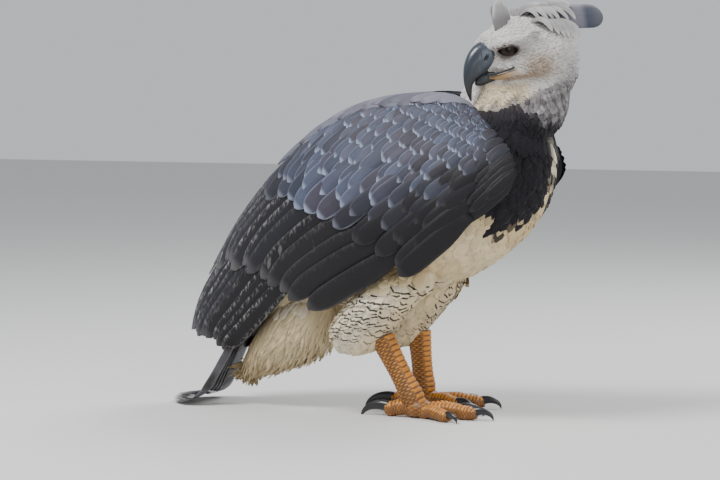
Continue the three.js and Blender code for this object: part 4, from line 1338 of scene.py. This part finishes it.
def covert_row(t: float) -> WingRow:
    """Returns the row of coverts a share t of the way from the longest ones to the small ones near the wrist."""
    rest = 1 - t
    start = (1.3 * rest**1.3 + 0.02, 0.86 - 0.56 * t**0.9)
    end = (4.1 - 3.5 * t**1.05, 0.2 - 0.15 * t)
    tip_start = (start[0] + (1.5 * rest**1.35 + 0.2) * 0.85, start[1] + 0.03 + 0.08 * rest)
    tip_end = (end[0] + (1.3 * rest**1.2 + 0.3) * 0.75, end[1] + 0.05 + 0.1 * rest)
    half = 5.5 + 11.5 * rest**0.9
    count = int(13 + 7 * math.sin(math.pi * t) + 10 * t)
    return WingRow(count, (start, end), (tip_start, tip_end), (half, half), (t - 3, 3.2), 1.0)


@dataclass
class Wing:
    """A folded wing: a pad, flight feathers, overlapping rows of coverts and the long pale mantle over them."""

    name: str
    covert_rows: int = 12
    stations: int = 13
    columns: int = 7
    tilt: float = 0.15
    thick: float = 0.6

    def rows(self) -> list[WingRow]:
        """Returns the rows from the flight feathers up to the small coverts at the wrist and the mantle."""
        coverts = [covert_row(j / (self.covert_rows - 1)) for j in range(self.covert_rows)]
        return [*FLIGHT_ROWS, *coverts, *WRIST_ROWS, *MANTLE_ROWS]

    def fill_row(self, patch: Patchwork, row: WingRow, seed: int) -> None:
        """Lays one row: each feather's middle runs straight in (rib, wrap) and rises over the face to its tip.

        Args:
            patch: where the mesh is gathered.
            row: the row.
            seed: of its random draws.
        """
        side, n = SIDES[self.name], row.count
        draw = np.random.default_rng(seed)
        t = np.clip(np.linspace(0, 1, n) + row.loose * draw.normal(0, 0.22 / n, n), 0, 1)[:, None]
        root, tip = between(row.root, t), between(row.tip, t)
        tip = tip + row.loose * draw.normal(0, 0.06, tip.shape) * (tip - root)
        v = np.sin(np.linspace(0, math.pi / 2, self.stations))[None]
        rib, wrap = np.moveaxis(root[:, None] + (tip - root)[:, None] * v[..., None], -1, 0)
        rib = np.minimum(rib, LAST_WING_RIB)
        normal = wing_normal(side, rib, wrap)
        height = row.heights[0] + (row.heights[1] - row.heights[0]) * v + 1.2 * np.sin(math.pi * v)
        height = height + draw.uniform(-0.4, 0.4, (n, 1))
        middle = wing_point(side, rib, wrap) + normal * height[..., None]
        across, _ = frames_along(middle, normal)
        tilt = self.tilt + row.loose * draw.normal(0, 0.03, (n, 1, 1))
        across, square = frames_along(middle, unit(normal + across * tilt * side))
        width = (row.half[0] + (row.half[1] - row.half[0]) * t) * draw.uniform(0.9, 1.1, (n, 1))
        half = width * vane_outline(v, shoulder=0.72, root=0.55, power=2.4)
        tone, edge, lit = self.colours(row, rib.mean(1), wrap.mean(1), draw)
        # painted sheen: in the bluish, pale-rimmed stretch each feather is brightened towards its tip, as if the
        # light caught it, and its covered root stays darker; the mantle's feathers only a little
        painted_tip_sheen = lit * (0.9 if row.mantle == 0 else 0.1) * draw.uniform(0.3, 1.0, n)
        tone = tone[:, None] * (1 + painted_tip_sheen[:, None] * smooth(0.45, 0.95, v))[..., None]
        dull = 0.12 + 0.6 * (row.spots > 0)
        spots = row.spots * draw.uniform(0.2, 1.0, n) * smooth(3.6, 6.0, rib.mean(1))
        marks = np.stack([row.rim * (dull + (1 - dull) * lit), np.zeros(n), spots], -1)
        camber = np.broadcast_to(width * 0.12, half.shape)
        vanes = Vanes(middle, across, square, half, camber, self.thick, self.columns, side > 0, v[0])
        vanes.fill(patch, tone, edge, marks)

    def colours(
        self, row: WingRow, rib: Array, wrap: Array, draw: np.random.Generator
    ) -> tuple[Array, Array, Array]:
        """Colours a row's feathers: slate to plum near the back, black-brown below and behind.

        Args:
            row: the row that the feathers stand in.
            rib: their mean places along the wing.
            wrap: their mean places round it.
            draw: random draws.

        Returns:
            Each feather's colour, its rim's colour and how far it lies in the bluish, pale-rimmed stretch.
        """
        n = len(rib)
        border = 0.60 + 0.10 * smooth(0, 2, rib)
        lit = smooth(border + 0.05, border - 0.14, wrap + draw.normal(0, 0.03, n))
        lit = lit * (1 - 0.85 * smooth(3.6, 5.2, rib))
        wrist = smooth(1.1, 0.2, rib) * smooth(0.2, 0.4, wrap)
        slate = blend(PLUM_GREY, SLATE_BLUE, draw.random(n) ** 0.8)
        tone = blend(BLACK_BROWN * 0.9, slate, lit * (0.75 - 0.25 * wrist))
        mantle = blend(SLATE_BLUE, LAVENDER * 0.62, 0.35 + 0.6 * draw.random(n))
        tone = blend(tone, mantle, row.mantle)
        barred = blend(MID_GREY * 0.6, PALE_GREY * 0.8, draw.random(n))
        edge = barred if row.spots > 0 else blend(MID_GREY * 0.7, PALE_BLUE * 1.15, lit)
        if row.mantle > 0:
            edge = np.tile(BLACK_BROWN * 2, (n, 1))
        return tone * draw.uniform(0.6, 1.1, (n, 1)), edge, np.maximum(lit, row.mantle)

    def fill_pad(self, patch: Patchwork) -> None:
        """Adds the arm under the feathers: the face sunk a little, and a second face deeper, closed at the rim."""
        side = SIDES[self.name]
        rib, wrap = np.meshgrid(np.linspace(0, 5.4, 40), np.linspace(0.03, 0.9, 30), indexing="ij")
        full = np.minimum(1, np.minimum(wrap, 1 - wrap) * 5 + 0.25) * np.minimum(1, rib * 1.1 + 0.25)
        normal = wing_normal(side, np.maximum(rib, 0.05), wrap)
        depths = (4 + 3 * (1 - full) + smooth(2, 5.4, rib) * 6, 12 + 20 * full * (1 - rib / 7))
        over, under = (wing_point(side, rib, wrap) - normal * depth[..., None] for depth in depths)
        patch.add(*tube(np.concatenate([over, under[:, ::-1]], 1)), tone=BLACK_BROWN, edge=SLATE)

    def build(self, shop: Workshop) -> None:
        """Builds the wing's one piece."""
        patch = Patchwork()
        self.fill_pad(patch)
        for seed, row in enumerate(self.rows(), start=WING_SEEDS[self.name]):
            self.fill_row(patch, row, seed)
        shop.piece(patch, f"wing_feathers_{self.name}", Look.LARGE, Slot.DARK, f"wing_{self.name}")


@dataclass
class Tail:
    """Twelve tail feathers that lie flat on the floor at their tips, and the coverts over their roots."""

    feathers: int = 12
    coverts: int = 36
    step: float = 1.75
    half: float = 19.0
    covert_half: float = 12.0
    floor: float = 0.8

    def middle(self, t: Array) -> Array:
        """Returns the tail's middle, for t from 0 at the rump to 1 at the tip."""
        x, z = np.moveaxis(spline(TAIL_LINE, np.clip(t, 0, 1) * (len(TAIL_LINE) - 1)), -1, 0)
        return np.stack([x, np.zeros(x.shape), z], -1)

    def line(self, t: Array) -> tuple[Array, Array]:
        """Returns the tail's middle and the normal of its upper side."""
        along = unit(self.middle(t + 0.02) - self.middle(t - 0.02))
        up = np.cross(along, LEFTWARDS)
        return self.middle(t), up * np.where(up[..., 2:] - 0.6 * up[..., :1] < 0, -1, 1)

    def fill_feathers(self, patch: Patchwork) -> None:
        """Adds the tail feathers: each pair lies a step under the pair inside it and spreads towards the tip."""
        n = self.feathers
        off = np.arange(n) - (n - 1) / 2
        across = off / off.max()
        v = np.linspace(0, 1, 22)
        t = (1 - 0.1 * across**2)[:, None] * v
        point, up = self.line(t)
        depth = np.where(across > 0, 0.8, 0) - self.step * (np.abs(off) - 0.5)
        middle = point + up * depth[:, None, None]
        middle[..., 1] += across[:, None] * (14 + 38 * (smooth(0, 1, t) * 0.7 + t * 0.3))
        middle[..., 2] = np.maximum(middle[..., 2], self.floor)
        side, square = frames_along(middle, up)
        half = np.tile(self.half * vane_outline(v, shoulder=0.86, root=0.5, power=3), (n, 1))
        bands = smooth(0.55, 0.75, waves(t * 2 * math.pi * 4.2 + 0.6))
        tone = blend(BLACK_BROWN * 0.8, TAIL_GREY, bands)
        edge, marks = np.tile(PALE_GREY, (n, 1)), np.tile([0.55, 0.0, 0.2], (n, 1))
        Vanes(middle, side, square, half, np.full(half.shape, 0.5), 0.8, 7).fill(patch, tone, edge, marks)

    def fill_coverts(self, patch: Patchwork) -> None:
        """Adds dark coverts over the roots, in three rows that each start a little farther back."""
        n = self.coverts
        draw = np.random.default_rng(77)
        row, v = np.arange(n) % 3, np.linspace(0, 1, 8)
        point, up = self.line((0.03 + 0.05 * row)[:, None] + 0.26 * v)
        middle = point + up * (3.5 + 1.2 * row + draw.uniform(-0.4, 0.4, n))[:, None, None]
        middle[..., 1] += np.linspace(-1, 1, n)[:, None] * 27
        side, square = frames_along(middle, up)
        half = np.tile(self.covert_half * vane_outline(v), (n, 1))
        tone = BLACK_BROWN * 1.4 * draw.uniform(0.8, 1.2, (n, 1))
        edge, marks = np.tile(TAIL_GREY, (n, 1)), np.tile([0.5, 0.0, 0.0], (n, 1))
        Vanes(middle, side, square, half, np.full(half.shape, 1.0), 0.5, 5).fill(patch, tone, edge, marks)

    def build(self, shop: Workshop) -> None:
        """Builds the tail's one piece."""
        patch = Patchwork()
        self.fill_feathers(patch)
        self.fill_coverts(patch)
        shop.piece(patch, "tail_feathers", Look.LARGE, Slot.DARK, "tail")


@dataclass(frozen=True)
class CrestRow:
    """Crest feathers between two ends, in the head's frame.

    bow is how far a feather bends away from the crown, curl how far its end comes back, face the way its upper side
    looks, slate how dark and flat it is, and a plume is drawn out to a point.
    """

    count: int
    root: tuple[Point, Point]
    tip: tuple[Point, Point]
    half: float
    bow: float
    curl: float
    face: Point
    slate: float = 0.0
    plume: bool = False

    def mirrored(self) -> "CrestRow":
        """Returns the same row on the other side of the head."""
        root, tip = (tuple((x, -y, z) for x, y, z in ends) for ends in (self.root, self.tip))
        x, y, z = self.face
        return replace(self, root=root, tip=tip, face=(x, -y, z))


CROWN_ROWS = (
    CrestRow(6, ((-6, 8, 50), (-50, 11, 52)), ((-28, 37, 47), (-84, 36, 45)), 5.6, 13, 5, (0.05, 0.45, 0.9)),
    CrestRow(6, ((-14, 30, 40), (-56, 34, 42)), ((-35, 57, 28), (-88, 52, 12)), 5.6, 10, 5, (0.05, 0.6, 0.8)),
)
BROW_ROW = CrestRow(
    20, ((43, 36, 13), (0, 50, 25)), ((32, 47, 12), (-20, 58, 27)), 2.3, 2.6, 2, (0.2, 0.85, 0.4)
)
CREST_ROWS = (
    CrestRow(1, ((-14, 4, 44),) * 2, ((-150, 12, 43),) * 2, 20, 6, 0, (0, 0.93, 0.36), 1.0),
    CrestRow(
        2, ((-13, -8, 46), (-12, -20, 46)), ((-138, -8, 52), (-124, -24, 54)), 16, 7, 3, (0, 0.5, 0.8), 0.7
    ),
    CrestRow(3, ((0, 2, 50), (-30, 4, 52)), ((-50, 8, 66), (-92, 12, 66)), 10, 8, 4, (0, 0.4, 0.9), 0.15),
    *CROWN_ROWS,
    *(row.mirrored() for row in CROWN_ROWS),
    CrestRow(1, ((31, 16, 33),) * 2, ((38, 20, 78),) * 2, 14, -1, -1, (0.3, 0.92, 0.1), 0.12, plume=True),
    CrestRow(1, ((22, 12, 42),) * 2, ((24, 18, 70),) * 2, 11, -2, -2, (0.3, 0.92, 0.1), plume=True),
    CrestRow(2, ((22, -14, 42), (14, -18, 42)), ((26, -18, 70), (12, -24, 69)), 11, -2, -2, (0.3, -0.9, 0.1)),
    BROW_ROW,
    BROW_ROW.mirrored(),
)


@dataclass
class Crest:
    """The raised crest, feather by feather, with round tips that curl, and the small feathers of the brows."""

    first_seed: int = 500
    stations: int = 15
    columns: int = 9
    thick: float = 0.7

    def fill_row(self, patch: Patchwork, row: CrestRow, seed: int) -> None:
        """Lays one row: each feather bows away from the crown by a sine and curls at its end by v^4.

        Args:
            patch: where the mesh is gathered.
            row: the row.
            seed: of its random draws.
        """
        draw = np.random.default_rng(seed)
        n, slate = row.count, row.slate
        t = np.linspace(0, 1, n)[:, None]
        root, tip = between(row.root, t), between(row.tip, t)
        tip = tip + draw.normal(0, 1.4, tip.shape)
        v = np.sin(np.linspace(0, math.pi / 2, self.stations))
        along = unit(tip - root)
        side = unit(np.cross(along, unit(np.array(row.face))))
        normal = np.cross(side, along)
        lift = row.bow * np.sin(math.pi * v) - row.curl * v**4 + draw.uniform(-1.3, 1.3, (n, 1))
        middle = root[:, None] + (tip - root)[:, None] * v[:, None] + normal[:, None] * lift[..., None]
        middle = from_head(middle)
        side, square = frames_along(middle, np.broadcast_to((normal @ HEAD_AXES.T)[:, None], middle.shape))
        shoulder, power = (0.15, 1.7) if row.plume else (0.66 + 0.14 * slate, 2.2)
        half = row.half * draw.uniform(0.88, 1.1, (n, 1)) * vane_outline(v, shoulder, 0.8, power)
        base = blend(PALE_GREY, LAVENDER * 0.6, slate) * draw.uniform(0.8, 1.08, (n, 1))
        tone = blend(base[:, None], SLATE_BLUE * 0.7, slate * smooth(0.66, 0.8, v))
        # painted shade: each crest feather is darkened to half its colour at its root, where the feathers overlap,
        # and brightens towards its tip
        tone = tone * (0.5 + 0.5 * smooth(0.25, 0.8, v))[:, None]
        marks = np.tile([0.9 - 0.65 * slate, 0.0, 0.0], (n, 1))
        edge = np.tile(blend(WHITE_GREY, PALE_GREY * 0.6, slate), (n, 1))
        camber = half * ((0.2 if row.plume else 0.8) * (1 - slate) + 0.12 * slate)
        vanes = Vanes(middle, side, square, half, camber, self.thick, self.columns, at=v)
        vanes.fill(patch, tone, edge, marks)

    def build(self, shop: Workshop) -> None:
        """Builds the crest's one piece."""
        patch = Patchwork()
        for seed, row in enumerate(CREST_ROWS, start=self.first_seed):
            self.fill_row(patch, row, seed)
        shop.piece(patch, "crest_feathers", Look.CREST, Slot.CREST, "crest")


@dataclass
class Mouth:
    """The dark line of the mouth on each cheek, a black tube of painted shade along the closed mouth's slit, and the
    bare fold of skin below it.
    """

    stations: int = 36
    line_radii: tuple[float, float] = (1.5, 2.4)
    fold_heights: tuple[float, ...] = (1.6, 3.6, 4.8, 4.4, 3.0, 1.0)

    def build(self, shop: Workshop) -> None:
        """Builds both sides' lines and folds as ovals carried along the mouth's line and a path below it."""
        patch = Patchwork()
        n = self.stations
        tall = curve(self.fold_heights, np.linspace(0, 1, n))
        across, up = (np.full(n, radius) for radius in self.line_radii)
        for side in SIDES.values():
            flip = np.array([1, side, 1])
            # painted shade: a black tube along the mouth's line, for the shade in its closed slit
            points, faces = tube(swept(resampled(MOUTH_LINE, n) * flip, UPWARDS, across, up, 16))
            patch.add(from_head(points), faces, tone=MOUTH_SLIT_SHADE)
            points, faces = tube(swept(resampled(MOUTH_FOLD, n) * flip, UPWARDS, tall, tall * 0.35 + 0.5, 24))
            tone = blend(GAPE_ORANGE, GAPE_GREY, smooth(46, 14, points[:, 0]))
            patch.add(from_head(points), faces, tone=tone)
        shop.piece(patch, "mouth_folds", Look.LIP, Slot.HEAD)


@dataclass
class Bill:
    """The hooked bill: horn, cere with its nostrils, and the lower half.

    nostril is the middle of the slit seen from the side, (x, z), slit its half sizes across and along, lean the cos
    and sin of its slant, and depth how far it is pressed in.
    """

    nostril: tuple[float, float] = (59.0, -7.0)
    slit: tuple[float, float] = (2.0, 4.6)
    lean: tuple[float, float] = (0.85, 0.53)
    depth: float = 2.6
    squareness: float = 0.9
    sides: int = 96
    ribs: int = 361

    def upper(self, front: bool) -> tuple[Array, Array, Array]:
        """Lofts the cere or the horn, with a slit pressed in at each nostril.

        At each angle the ribs run up to the one where the bill passes the cere's end, or on from there:
        a point lies between two neighbours of a dense loft, by its share of the way.

        Args:
            front: the horn if true, else the cere.

        Returns:
            Points in the head's frame, quads and how deep each point lies in a nostril, from 0 to 1.
        """
        last = self.ribs - 1
        dense = rib_rings(resampled(UPPER_BILL_RIBS, self.ribs), self.sides, squareness=self.squareness)
        split = np.argmax(dense[..., 0] > CERE_END, axis=0).astype(float)
        start, end = (split + 0.5, last) if front else (0, split)
        at = start + (end - start) * np.linspace(0, 1, 70)[:, None]
        low = np.minimum(np.floor(at).astype(int), last - 1)
        share, column = (at - low)[..., None], np.arange(self.sides)[None]
        points, faces = tube(dense[low, column] * (1 - share) + dense[low + 1, column] * share)
        x, z = (points[:, ::2] - np.array(self.nostril)).T
        cos, sin = self.lean
        turned = np.stack([x * cos + z * sin, z * cos - x * sin], -1)
        press = np.exp(-((turned / np.array(self.slit)) ** 2).sum(1))
        return points - self.depth * LEFTWARDS * np.sign(points) * press[:, None], faces, press

    def build(self, shop: Workshop) -> None:
        """Builds cere, horn and lower bill, each in the place of its own solid."""
        for name, node, front in (("cere", "cere", False), ("bill_horn", "bill_upper", True)):
            points, faces, press = self.upper(front)
            x, _, z = points.T
            tone = blend(HORN_GREY, HORN_BLUE, smooth(60, 72, x + 0.3 * z))
            tone = blend(tone, HORN_BLACK, smooth(-14, -56, z))
            # painted shade: the shallow nostril dents are coloured near-black for the shade inside the openings
            tone = blend(tone, NOSTRIL_SHADE, np.clip(press * 2.4 - 0.2, 0, 1))
            self.place(shop, points, faces, tone, name, node)
        points, faces = tube(rib_rings(resampled(LOWER_BILL_RIBS, 40), 48, squareness=self.squareness))
        tone = blend(LOWER_BILL_BLUE, GAPE_ORANGE * 0.9, smooth(42, 26, points[:, 0]))
        self.place(shop, points, faces, tone, "bill_under", "bill_lower")

    def place(self, shop: Workshop, points: Array, faces: Array, tone: Array, name: str, node: str) -> None:
        """Builds one piece in the place of its solid, from points of the head's frame."""
        patch = Patchwork()
        patch.add(from_head(points), faces, tone=tone)
        shop.piece(patch, name, Look.HORN, Slot.BILL, node)


@dataclass
class Eye:
    """A wet eye under its lids.

    opening is half the opening's width and height; the lids' profile has a reach outwards from it and a rise over the
    ball for each of its rings.
    """

    name: str
    opening: tuple[float, float] = (14.5, 7.4)
    lid_reach: tuple[float, ...] = (0.0, 0.5, 1.0, 1.7, 2.8, 4.4, 4.0, 2.3, -3.6)
    lid_rise: tuple[float, ...] = (0.15, 0.7, 1.1, 1.2, 0.8, -0.6, -4.0, -5.5, -6.0)

    def axes(self) -> Array:
        """Returns, as rows in the head's frame, the way the eye looks, level across it and upwards across it."""
        ahead = unit(np.array([0.42, SIDES[self.name] * 0.9, 0.04]))
        level = unit(np.cross(ahead, UPWARDS))
        return np.stack([ahead, level, np.cross(level, ahead)])

    def build(self, shop: Workshop) -> None:
        """Builds the ball, coloured by its angle from the eye's axis, and the ring of lids round its opening."""
        centre, axes = EYE_AT * np.array([1, SIDES[self.name], 1]), self.axes()
        points, faces = tube(centre + EYE_RADIUS * (ball_rings(48, 64, 0.02) @ axes))
        off_axis = np.arccos(np.clip(unit(points - centre) @ axes[0], -1, 1))
        tone = blend(blend(PUPIL, IRIS, smooth(0.36, 0.42, off_axis)), EYE_RIM, smooth(0.66, 0.78, off_axis))
        patch = Patchwork()
        patch.add(from_head(points), faces, tone=tone)
        shop.piece(patch, f"eyeball_{self.name}", Look.WET, Slot.EYE, f"eye_{self.name}")
        patch = Patchwork()
        self.fill_lids(patch, centre, axes)
        shop.piece(patch, f"eyelids_{self.name}", Look.DOWN, Slot.HEAD)

    def fill_lids(self, patch: Patchwork, centre: Array, axes: Array) -> None:
        """Adds the lids as a ring: its inner edge lies on the ball, it swells outside and lines the corners.

        Args:
            patch: where the mesh is gathered.
            centre: the ball's centre in the head's frame.
            axes: the eye's axes.
        """
        angle = round_angles(72)
        across, tall = self.opening
        cosine, sine = np.cos(angle), np.sin(angle)
        rise_of_lid = np.where(sine > 0, 0.55 * np.abs(sine) ** 1.1, -np.abs(sine) ** 1.3)
        lean = -1.6 * cosine * (sine > 0) * sine
        shape = np.stack([cosine * across, rise_of_lid * tall + lean * SIDES[self.name] - 0.4], -1)
        out = unit(np.stack([cosine / across, sine / tall], -1))
        reach, rise = np.array(self.lid_reach)[:, None], np.array(self.lid_rise)[:, None]
        flat = shape + out * reach[..., None]
        dome = np.sqrt(np.maximum(EYE_RADIUS**2 - np.sum(flat * flat, -1), 14.0)) + rise
        points = centre + np.concatenate([dome[..., None], flat], -1) @ axes
        rows, columns = points.shape[:2]
        loop = np.arange(columns)
        last, ahead = (rows - 1) * columns, (loop + 1) % columns
        seam = np.stack([last + loop, last + ahead, ahead, loop], -1)
        faces = np.concatenate([grid_faces(rows, columns, closed=True), seam])
        points = points.reshape(-1, 3)
        tone = blend(LID_DARK, LID_GREY, np.repeat(smooth(0.8, 2.6, reach[:, 0]), columns))
        patch.add(from_head(points), outward(points - centre, faces), tone=tone)


@dataclass(frozen=True)
class Toe:
    """A toe: turn from straight ahead in degrees, length, radius, claw length and claw radius."""

    turn: float
    length: float
    radius: float
    claw: float
    claw_radius: float


TOES = {
    "inner": Toe(-28, 56, 11.5, 50, 7.6),
    "middle": Toe(3, 80, 11.5, 42, 7.0),
    "outer": Toe(38, 62, 10, 36, 6.2),
    "hind": Toe(186, 44, 12.5, 64, 8.8),
}


@dataclass
class Foot:
    """A leg below the feathers: tarsus, palm, toes with their scutes, and claws."""

    name: str
    tarsus_radii: tuple[float, ...] = (19, 18, 17, 16.5, 17, 18.5, 16.0)
    toe_swell: tuple[float, ...] = (1.1, 1.02, 0.94, 1.0, 0.93, 0.96, 0.66)
    palm_half: Point = (22, 19, 15)
    scales_per_scute: float = 2.4
    scales_round: float = 10.0
    scute_length: float = 6.5
    claw_lift: float = math.radians(28)
    claw_bend: float = math.radians(118)
    seed: int = 11

    def point(self, x: float, y: float, z: float) -> Array:
        """Returns a point of the bird's frame whose y is given outwards."""
        return np.array([x, SIDES[self.name] * y, z])

    def scaled(
        self, rings: Array, along: Array, angle: Array, plates: float, front: float
    ) -> tuple[Array, Array]:
        """Raises plates on a tube: broad scutes over its front and small scales elsewhere.

        A scute's height is the square root of |sin| along the tube; a small scale's is the product of two such
        waves, shifted by half a scale on every other row.

        Args:
            rings: (rows, sides, 3).
            along: (rows,) distance in plates.
            angle: (sides,) with 0 at the middle of the scutes.
            plates: mm that a scute stands up.
            front: half the angle that the scutes cover.

        Returns:
            Raised rings, and how high each point stands from 0 to 1.
        """
        out = unit(rings - rings.mean(1, keepdims=True))
        turned = (angle + math.pi) % (2 * math.pi) - math.pi
        scute = np.sqrt(np.abs(np.sin(along * math.pi)))[:, None]
        row = along * self.scales_per_scute
        round_it = turned * self.scales_round / 2 + (np.floor(row) % 2)[:, None] * math.pi / 2
        scale = np.sqrt(np.abs(np.sin(row * math.pi)))[:, None] * np.sqrt(np.abs(np.sin(round_it)))
        broad = 1 - smooth(front - 0.15, front + 0.15, np.abs(turned))
        height = broad * scute + (1 - broad) * scale * 0.8
        return rings + out * (height * plates - plates * 0.6)[..., None], height

    def add_scaled(self, patch: Patchwork, rings: Array, height: Array, floor: float = -math.inf) -> None:
        """Adds raised rings, held above a floor, yellow on the plates and brown between them."""
        rings[..., 2] = np.maximum(rings[..., 2], floor)
        points, faces = tube(rings)
        x, y, z = points.T
        tall = np.pad(height, ((1, 1), (0, 0))).ravel()
        low = 0.18 * waves(x * 0.9 + 2 * np.sin(z * 0.5), y * 1.1) + 0.1 * smooth(70, 30, z)
        shade = blend(FOOT_BROWN, FOOT_YELLOW, smooth(0.3 + low, 0.75 + low, tall))
        wave = 0.12 * np.sin(x * 0.3) * np.random.default_rng(self.seed).uniform(0.9, 1.0)
        patch.add(points, faces, tone=shade * (0.92 + wave)[:, None])

    def fill_tarsus(self, patch: Patchwork) -> None:
        """Adds the tarsus with scutes down its front."""
        leg, t = LEGS[self.name], np.linspace(0, 1, 190)
        top = self.point(leg.ankle[0] + 6, leg.ankle[1], leg.ankle[2] + 14)
        low = self.point(leg.foot[0] - 4, leg.foot[1], 16.0)
        radius = curve(self.tarsus_radii, t)
        rings = swept(top + (low - top) * t[:, None], LEFTWARDS, radius * 0.9, radius, 80)
        self.add_scaled(patch, *self.scaled(rings, t * 13, round_angles(80) - math.pi / 2, 1.5, 0.95))

    def fill_palm(self, patch: Patchwork) -> None:
        """Adds the pad where the toes meet."""
        ball = ball_rings(30, 48, 0.05)[..., [1, 2, 0]] * np.array(self.palm_half)
        rings = ball + self.point(*LEGS[self.name].foot, 14.0)
        raised = self.scaled(rings, np.linspace(0, 6, 30), round_angles(48), 1.0, 0.0)
        self.add_scaled(patch, *raised, floor=1.3)

    def heading(self, toe: Toe) -> tuple[Array, Array]:
        """Returns a toe's level direction and the level way across it."""
        angle = math.radians((LEGS[self.name].turn + toe.turn) * SIDES[self.name])
        cos, sin = math.cos(angle), math.sin(angle)
        return np.array([cos, sin, 0]), np.array([-sin, cos, 0])

    def along_toe(self, toe: Toe, ahead: Array, high: Array) -> Array:
        """Returns points so far ahead of the foot's middle along a toe, and so high over the floor."""
        start = self.point(*LEGS[self.name].foot, 0.0)
        return start + self.heading(toe)[0] * ahead[:, None] + UPWARDS * high[:, None]

    def fill_toe(self, patch: Patchwork, toe: Toe) -> None:
        """Adds one toe: pads bulge below, and scutes cross its top."""
        t = np.linspace(0, 1, 120)
        high = toe.radius * (0.86 + 0.34 * np.sin(math.pi * np.minimum(t * 1.25, 1)))
        path = self.along_toe(toe, 8 + (toe.length + 4) * t, high)
        reach = curve(self.toe_swell, t) * toe.radius
        rings = swept(path, self.heading(toe)[1], reach, reach, 56)
        angle = round_angles(56)
        top = angle[np.argmax(rings[len(t) // 2, :, 2])]
        plates = t * (toe.length + 12) / self.scute_length
        self.add_scaled(patch, *self.scaled(rings, plates, angle - top, 1.3, 1.15), floor=0.15)

    def claw_rings(self, toe: Toe) -> Array:
        """Returns a claw's rings: an arc of a circle, flattened in height, whose radius falls to its point."""
        arc = toe.claw / self.claw_bend
        t = np.linspace(0, 1, 28)
        angle = self.claw_bend * t - self.claw_lift
        ahead = toe.length + 8 + arc * (np.sin(angle) + math.sin(self.claw_lift))
        high = toe.radius * 1.1 + arc * 0.66 * (np.cos(angle) - math.cos(self.claw_lift))
        reach = toe.claw_radius * (1 - 0.9 * t**1.3)
        rings = swept(self.along_toe(toe, ahead, high), self.heading(toe)[1], reach * 0.8, reach, 24)
        rings[..., 2] = np.maximum(rings[..., 2], 0.25)
        return rings

    def build(self, shop: Workshop) -> None:
        """Builds the scaled skin and the claws."""
        patch, claws, name = Patchwork(), Patchwork(), self.name
        self.fill_tarsus(patch)
        self.fill_palm(patch)
        for toe in TOES.values():
            self.fill_toe(patch, toe)
            claws.add(*tube(self.claw_rings(toe)), tone=CLAW_BLACK)
        nodes = (f"tarsus_{name}", f"foot_{name}", *(f"toe_{name}_{toe}" for toe in TOES))
        shop.piece(patch, f"leg_scales_{name}", Look.SCALES, Slot.FOOT, *nodes)
        shop.piece(claws, f"claws_{name}", Look.HORN, Slot.CLAW, *(f"claw_{name}_{toe}" for toe in TOES))


def look_towards(way: Vector) -> Euler:
    """Returns the turn of a camera or a light that looks along a way."""
    return way.to_track_quat("-Z", "Y").to_euler()


@dataclass(frozen=True)
class Lamp:
    """A square light aimed at the bird: its place and size in metres and its power in watts."""

    name: str
    place: Point
    power: float
    size: float

    def build(self) -> None:
        """Adds the light."""
        data = bpy.data.lights.new(self.name, "AREA")
        data.energy = self.power
        data.size = self.size
        item = bpy.data.objects.new(self.name, data)
        bpy.context.scene.collection.objects.link(item)
        item.location = self.place
        item.rotation_euler = look_towards(Vector((0, 0, 0.3)) - Vector(self.place))


@dataclass
class Studio:
    """Camera at the photo's angle, a plain pale floor and soft lights; distances are in metres."""

    azimuth: float = math.radians(22)
    elevation: float = math.radians(4)
    distance: float = 4.5
    aside: float = -0.062
    height: float = 0.2666
    lens: float = 145.2
    sensor: float = 36.0
    floor_half: float = 8.0
    floor_colour: tuple[float, ...] = (0.62, 0.62, 0.6, 1)
    sky_colour: tuple[float, ...] = (0.86, 0.9, 0.95, 1)
    sky_strength: float = 0.7
    lamps: tuple[Lamp, ...] = (
        Lamp("key", (-1.0, -1.4, 2.7), 105, 1.2),
        Lamp("fill", (2.2, -2.0, 1.4), 30, 2.0),
        Lamp("rim", (0.9, 1.8, 2.4), 60, 1.2),
    )

    def build(self, offset: Array) -> None:
        """Adds camera, floor, lights and background."""
        self.camera(offset)
        self.floor()
        for lamp in self.lamps:
            lamp.build()
        world = bpy.data.worlds.new("studio")
        world.use_nodes = True
        background = world.node_tree.nodes["Background"]
        background.inputs[0].default_value = self.sky_colour
        background.inputs[1].default_value = self.sky_strength
        bpy.context.scene.world = world

    def camera(self, offset: Array) -> None:
        """Adds the camera, aimed a little aside of the bird's own origin."""
        a, e = self.azimuth, self.elevation
        right = np.array([math.cos(a), math.sin(a), 0])
        back = np.array([math.sin(a) * math.cos(e), -math.cos(a) * math.cos(e), math.sin(e)])
        data = bpy.data.cameras.new("camera")
        data.lens = self.lens
        data.sensor_width = self.sensor
        item = bpy.data.objects.new("camera", data)
        bpy.context.scene.collection.objects.link(item)
        item.location = right * self.aside + UPWARDS * self.height + offset * MM + back * self.distance
        item.rotation_euler = look_towards(Vector(-back))
        bpy.context.scene.camera = item

    def floor(self) -> None:
        """Adds the floor."""
        far = self.floor_half
        mesh = bpy.data.meshes.new("floor")
        mesh.from_pydata([(-far, -far, 0), (far, -far, 0), (far, far, 0), (-far, far, 0)], [], [(0, 1, 2, 3)])
        item = bpy.data.objects.new("floor", mesh)
        bpy.context.scene.collection.objects.link(item)
        material = bpy.data.materials.new("pale_floor")
        material.use_nodes = True
        shader = material.node_tree.nodes["Principled BSDF"]
        shader.inputs["Base Color"].default_value = self.floor_colour
        shader.inputs["Roughness"].default_value = 0.9
        mesh.materials.append(material)


def main() -> None:
    """Builds the dressed bird and its studio."""
    logging.basicConfig(level=logging.INFO)
    shop = Workshop(offset_to_part(), {look: look.value.make() for look in Look})
    Body().build(shop)
    for name in SIDES:
        for part in (Wing(name), Foot(name), Eye(name)):
            part.build(shop)
    for part in (Tail(), Crest(), Mouth(), Bill()):
        part.build(shop)
    Studio().build(shop.offset)


if __name__ == "__main__":
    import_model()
    main()
